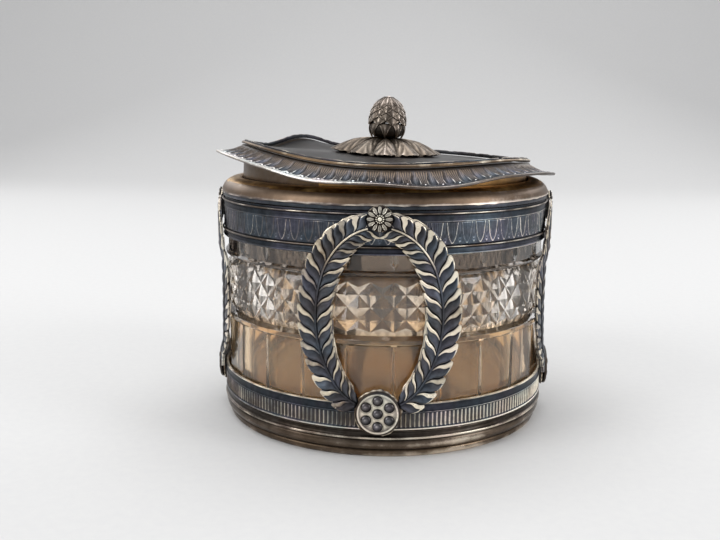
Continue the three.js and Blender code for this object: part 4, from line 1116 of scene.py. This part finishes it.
def dome_mesh():
    """The shallow dome, most worn half-way out."""
    top = flange_height(WIRE) + DOME_RISE
    outline = []
    for r in [48.04, 47.0, 44, 40, 36, 32, 28, 24, 20, 16, 12, 8, 4, 1.0]:
        wear = np.interp(r, [1.0, 10.0, 20.0, 30.0, 40.0, 48.04], [0.4, 0.5, 0.55, 0.5, 0.45, 0.25])
        outline.append([r, top - dome_fall(r) - 0.02, wear, 0.25])
    outline += [[r, z - 0.66, 0.5, 1.0] for r, z, _, _ in reversed(outline)]

    def rub(angle, wear):
        swirl = np.sin(5 * angle + 9 * wear) * np.sin(2 * angle + 1) + 0.5 * np.sin(11 * angle + 14 * wear)
        return wear - 0.2 + 0.1 * swirl

    return lid_turned(outline, 192, None, rub).mesh("dome", 50)


def bezel_mesh():
    """The collar that drops into the mouth, with its stop bead; gilt, also a painted golden reflection under
    the lid, but dark outside on the left.
    """
    top = FLANGE_RISE - LID_SHEET - FIT
    bead, inner = BEZEL + 1.58, BEZEL - 0.68
    outline = soften([
        [BEZEL, -7.3, 0.35, 0.9], [BEZEL, -3.0, 0.35, 0.9], [BEZEL, 0.15, 0.3, 0.9], [bead, 0.17, 0.6, 0.9],
        [bead, 0.82, 0.8, 0.7], [BEZEL, 0.84, 0.2, 0.8], [BEZEL, top, 0.2, 0.8],
        [inner, top, 0.3, 0.9], [inner, -7.3, 0.4, 1.0],
    ], 0.15, 3)

    def darker_outside_left(x, y, z):
        # Faces outside on the left, which take the dark finish.
        return math.hypot(x, y) > 49.8 and x < -20 + 5 * math.sin(0.4 * y)

    return second_finish(lid_turned(outline).mesh("bezel", 50), [gilt_and_painted_glint, silver_dark], darker_outside_left)


# Finial

FOLIAGE_RADIUS = 18.6
FOLIAGE_LOBES = 12
FOLIAGE_HEIGHT = 5.3
PETALS = 8
FOLIAGE_BASE = FLANGE_RISE + DOME_RISE + FIT
BUD_BASE = FOLIAGE_BASE + FIT + FOLIAGE_HEIGHT * 0.88 + 0.45
BUD_HEIGHT = 14.7
CALYX_TOP = BUD_BASE + 0.34 * BUD_HEIGHT
BUD_TOP = BUD_BASE + BUD_HEIGHT
BUD_TURN = -5 * DEG


def foliage_mesh():
    """Twelve ribbed leaves that spread from the foot of the finial, with smaller ones between them."""
    count = FOLIAGE_LOBES * 28
    angle = around(count)
    lobe = np.abs(np.cos(FOLIAGE_LOBES * angle / 2))
    across = np.abs(((angle * FOLIAGE_LOBES / TURN + 0.5) % 1) - 0.5) * 2
    share = np.concatenate([[0.06], np.linspace(0.1, 0.97, 34), [0.99, 1.0]])[:, None]
    rise = np.interp(share, [0, 0.16, 0.36, 0.5, 0.62, 0.74, 0.82, 0.9, 0.97, 1.0],
                     [1.0, 0.98, 0.9, 0.83, 0.74, 0.57, 0.43, 0.29, 0.17, 0.1])
    radius = FOLIAGE_RADIUS * share * (1 + 0.16 * share ** 2 * (lobe - 0.6))
    edge = smooth(0.0, 0.25, share)
    arch = np.sin(np.pi * share)
    midrib = bell(across, 0.1) * edge
    veins = np.cos(TURN * (across * 2.2 - share * 4.5)) * smooth(0.12, 0.3, across)
    veins = veins * (1 - smooth(0.75, 0.9, across)) * edge
    gap = smooth(0.8, 1.0, across) * edge
    height = FOLIAGE_BASE - dome_fall(FOLIAGE_RADIUS * share) + FOLIAGE_HEIGHT * rise
    height = height + 0.75 * arch * (lobe - 0.45)
    height = height + 0.22 * midrib + 0.16 * veins - 0.3 * gap * arch
    wear = 0.34 + 0.22 * midrib + 0.2 * veins - 0.36 * gap + 0.06 * share
    wear = wear - 0.16 * smooth(0.3, -0.9, np.sin(3 * angle + 1) + 0.6 * np.sin(7 * angle))

    def with_plain(rows, top, under):
        """Adds the row round the pin's hole above and the three rows underneath."""
        return np.concatenate([[np.full(count, top)], rows, [np.full(count, value) for value in under]])[::-1]

    under = [17.6, 9.0, 1.05]
    below = [FOLIAGE_BASE - dome_fall(r) + 0.03 for r in under]
    radius = with_plain(radius, under[-1], under)
    height = with_plain(height, FOLIAGE_BASE + FOLIAGE_HEIGHT, below)
    wear = with_plain(unit(wear), 0.3, [0.2] * 3)
    shape = Shape()
    shape.grid(seat_lid(polar(angle, radius, height)), wear, 0.75, loop=True)

    # Painted golden glint: the foliage round the foot of the bud takes the gilt colours.
    def painted_gold_glint(x, y, z):
        wave = math.sin(FOLIAGE_LOBES * math.atan2(x, -y) - 1.2)
        return math.hypot(x, y) < 5.0 + 1.3 * wave

    return second_finish(shape.mesh("foliage", 55), [silver_finial, gilt_and_painted_glint], painted_gold_glint)


def petal(shape, root, tip, half, bulge, angle, thickness=0.7, rib=0.35, rows=12, point=0.05, spread=0.35,
          flare=0.0, fall=1.4):
    """A hanging petal between a root and a tip, given as [radius, height], with a rib and rolled edges."""
    across = np.array([-1, -0.88, -0.65, -0.4, -0.18, 0, 0.18, 0.4, 0.65, 0.88, 1])
    back = across[::-2]
    away = np.abs(across)
    share = np.linspace(0, 1, rows)[::-1, None]
    r = mix(root[0], tip[0], share) + bulge * np.sin(math.pi * share) + flare * share ** 4
    z = mix(root[1], tip[1], share)
    width = half * (1 - (1 - point) * np.clip((share - spread) / (1 - spread), 0, None) ** fall)
    ridge = rib * (1 - away) ** 1.3 + 0.14 * smooth(0.6, 0.9, away)
    stripe = 0.05 * np.cos(across * 14)
    outside = polar(angle + width * across, r + ridge + stripe - 0.1, z)
    inside = polar(angle + width * back * 0.97, r - thickness + 0 * back, z)
    bright = 0.16 + 0.5 * bell(across, 0.16) + 0.42 * smooth(0.75, 0.95, away) + 0.1 * share
    # Painted shade: darker at the root, where the petal tucks under the tier above.
    bright = bright * smooth(-0.02, 0.12, share)
    wear = np.concatenate([bright, 0.02 + 0 * (share + back)], 1)
    shape.loft(seat_lid(np.concatenate([outside, inside], 1)), unit(wear), 0.5)


def add_turned(shape, outline, count):
    """Adds a turned piece of the lid to the shape."""
    ring = lid_turned(outline, count)
    shape.add(ring.points[0], ring.faces, ring.wear[0], ring.warm[0])


def calyx_mesh():
    """Eight pointed tips that run down over a dark cup."""
    shape = Shape()
    for k in range(PETALS):
        turn = BUD_TURN + k * TURN / PETALS
        petal(shape, [6.15, CALYX_TOP], [5.3, BUD_BASE + 0.1], 0.535 * TURN / PETALS, 0.6, turn,
              thickness=0.5, rib=0.26, rows=18, point=0.1, spread=0.06, fall=0.62)
    foot = FOLIAGE_BASE + FOLIAGE_HEIGHT + 0.32
    cup = [
        (0.6, CALYX_TOP - 0.6), (0.6, foot), (1.75, foot), (1.9, BUD_BASE - 0.1), (2.9, CALYX_TOP - 4.95),
        (4.4, CALYX_TOP - 4.6), (5.5, CALYX_TOP - 3.8), (6.05, CALYX_TOP - 2.6), (6.15, CALYX_TOP - 1.2),
        (5.95, CALYX_TOP - 0.1), (1.2, CALYX_TOP - 0.1),
    ]
    add_turned(shape, soften([[r, z, 0.0, 0.35] for r, z in cup], 0.3, 3), 64)
    return shape.mesh("calyx", 50)


def bud_mesh():
    """Tiers of ribbed petals that hang over each other, closed by a small knob."""
    shape = Shape()
    base = CALYX_TOP + FIT
    span = BUD_TOP - base
    tiers = 6

    def profile(share):
        return 6.6 * max(1 - share ** 2.15, 0.0) ** 0.55

    for tier in range(tiers):
        low = -0.09 + 0.85 * (tier / tiers) ** 0.92
        high = min(0.985, low + 0.34)
        turn = BUD_TURN + (0.5 if tier % 2 == 0 else 0.0) * TURN / PETALS
        root = [profile(high) * 0.9, base + high * span]
        tip = [profile(max(low, 0.0)) * (0.99 if tier else 1.02), base + low * span]
        bulge = max(profile((low + high) / 2) - (root[0] + tip[0]) / 2, 0.0) * 0.9
        for k in range(PETALS):
            petal(shape, root, tip, 0.56 * TURN / PETALS, bulge, turn + k * TURN / PETALS,
                  thickness=0.6, rib=0.3, rows=9, point=0.1, spread=0.3, flare=0.12)
    core = [[max(profile(s) - 0.6, 0.3), base + s * span, 0.0, 0.5] for s in np.linspace(0.005, 0.96, 16)]
    core += [[0.2, base + 0.965 * span, 0.4, 0.5], [0.2, base + 0.005 * span, 0.0, 0.5]]
    knob = [[1.1, base + 0.9 * span, 0.3, 0.4], [1.0, base + 0.95 * span, 0.6, 0.4],
            [0.6, BUD_TOP - 0.1, 0.8, 0.4], [0.1, BUD_TOP, 0.9, 0.4], [0.1, base + 0.9 * span, 0.3, 0.4]]
    add_turned(shape, core, 48)
    add_turned(shape, knob, 48)
    return shape.mesh("bud", 50)


# Pieces

SIDES = ["front", "right", "back", "left"]

piece("crystal_cut", crystal_drum(), glass, "box", ["crystal_drum"])
piece("foot_moulding", foot_mesh(), silver_foot, "box", ["foot"])
piece("lower_frieze", lower_band_mesh(), silver_band, "box", ["lower_band"])
piece("upper_frieze", upper_band_mesh(), silver_band, "box", ["upper_band"])
piece("lower_wire_fillet", fillet_mesh(LOWER_FILLET), silver_dark, "box", ["lower_fillet"])
piece("upper_wire_fillet", fillet_mesh(UPPER_FILLET), silver_dark, "box", ["upper_fillet"])
piece("shoulder_shell", shoulder_mesh(), silver_shoulder, "box", ["shoulder"])

wreath = wreath_mesh()
rosette = rosette_mesh()
medallion = medallion_mesh()
for k, side in enumerate(SIDES):
    turn = k * math.pi / 2
    piece(f"laurel_{side}", wreath, silver_dark, "box", [f"wreath_{side}"], turn)
    piece(f"flower_{side}", rosette, silver_dark, "box", [f"rosette_{side}"], turn)
    piece(f"boss_{side}", medallion, silver_dark, "box", [f"medallion_{side}"], turn)

piece("lid_border", flange_mesh(), silver_lid, "lid", ["lid_flange"])
piece("lid_moulding", wire_mesh(), silver_dark, "lid", ["lid_wire"])
piece("lid_top", dome_mesh(), dome_dark_reflection, "lid", ["lid_dome"])
piece("lid_collar", bezel_mesh(), gilt_and_painted_glint, "lid", ["lid_bezel"])
piece("finial_leaves", foliage_mesh(), silver_finial, "lid", ["finial_foliage"])
piece("finial_arcade", calyx_mesh(), silver_finial, "lid", ["finial_calyx"])
piece("finial_cone", bud_mesh(), silver_finial, "lid", ["finial_bud"])
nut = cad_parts["finial_nut"]
nut.data.materials.clear()
nut.data.materials.append(gilt_and_painted_glint)


# Floor, backdrop, lamps and camera

def stage_material():
    material = bpy.data.materials.new("paper")
    tree = nodes_of(material)
    grain = noise_value(tree, 300, 3, 0.6, 1.0)
    colour = ramp(tree, grain, [(0.3, (0.64, 0.64, 0.64)), (0.7, (0.66, 0.66, 0.655))])
    shade(tree, {"Base Color": colour, "Roughness": 0.8})
    return material


def backdrop():
    """One sheet of pale paper that lies under the box and curves up behind it."""
    profile = [(-7.0, 0.0), (0.9, 0.0)]
    for k in range(1, 13):
        a = math.pi / 2 * k / 12
        profile.append((0.9 + 0.6 * math.sin(a), 0.6 - 0.6 * math.cos(a)))
    profile.append((1.5, 2.2))
    verts, faces = [], []
    for y, z in profile:
        verts += [(-7.0, y, z), (7.0, y, z)]
    for k in range(len(profile) - 1):
        faces.append((2 * k, 2 * k + 1, 2 * k + 3, 2 * k + 2))
    mesh = bpy.data.meshes.new("backdrop")
    mesh.from_pydata(verts, [], faces)
    mesh.shade_smooth()
    mesh.materials.append(stage_material())
    obj = bpy.data.objects.new("backdrop", mesh)
    bpy.context.scene.collection.objects.link(obj)


def lamp(name, place, aim, size, power, colour=(1, 1, 1)):
    light = bpy.data.lights.new(name, "AREA")
    light.shape = "RECTANGLE"
    light.size, light.size_y = size
    light.energy = power
    light.color = colour
    obj = bpy.data.objects.new(name, light)
    obj.location = place
    obj.rotation_euler = (Vector(aim) - Vector(place)).to_track_quat("-Z", "Y").to_euler()
    bpy.context.scene.collection.objects.link(obj)


backdrop()
CENTRE = (0, 0, 0.05)
lamp("top", (-0.08, 0.16, 1.17), CENTRE, (1.12, 0.8), 7.7)
lamp("left", (-0.96, -0.56, 0.69), CENTRE, (0.56, 0.8), 6.1)
lamp("right", (0.99, -0.4, 0.45), CENTRE, (0.4, 0.8), 4.9)
lamp("behind_right", (0.67, 0.77, 0.61), CENTRE, (0.8, 0.48), 2.8)
lamp("behind_left", (-0.72, 0.72, 0.55), CENTRE, (0.64, 0.48), 2.0)

world = bpy.data.worlds.new("studio")
bpy.context.scene.world = world
tree = nodes_of(world)
sky = add_node(tree, "ShaderNodeBackground", {"Color": (0.5, 0.5, 0.51, 1), "Strength": 1.0})
tree.links.new(sky.outputs[0], add_node(tree, "ShaderNodeOutputWorld").inputs[0])

camera = bpy.data.cameras.new("camera")
camera.lens = 44.26
camera.sensor_width = 36
camera.clip_start = 0.01
eye = bpy.data.objects.new("camera", camera)
YAW, PITCH, ROLL = -0.0478, 0.1804, 0.0073
ahead = Vector((math.sin(YAW) * math.cos(PITCH), math.cos(YAW) * math.cos(PITCH), -math.sin(PITCH)))
right = Vector((math.cos(YAW), -math.sin(YAW), 0))
above = right.cross(ahead)
across = right * math.cos(ROLL) + above * math.sin(ROLL)
above = above * math.cos(ROLL) - right * math.sin(ROLL)
turn = Matrix((across, above, -ahead)).transposed()
eye.matrix_world = Matrix.Translation((0.0067, -0.31993, 0.1079)) @ turn.to_4x4()
bpy.context.scene.collection.objects.link(eye)
bpy.context.scene.camera = eye

bpy.context.scene.view_settings.view_transform = "Standard"
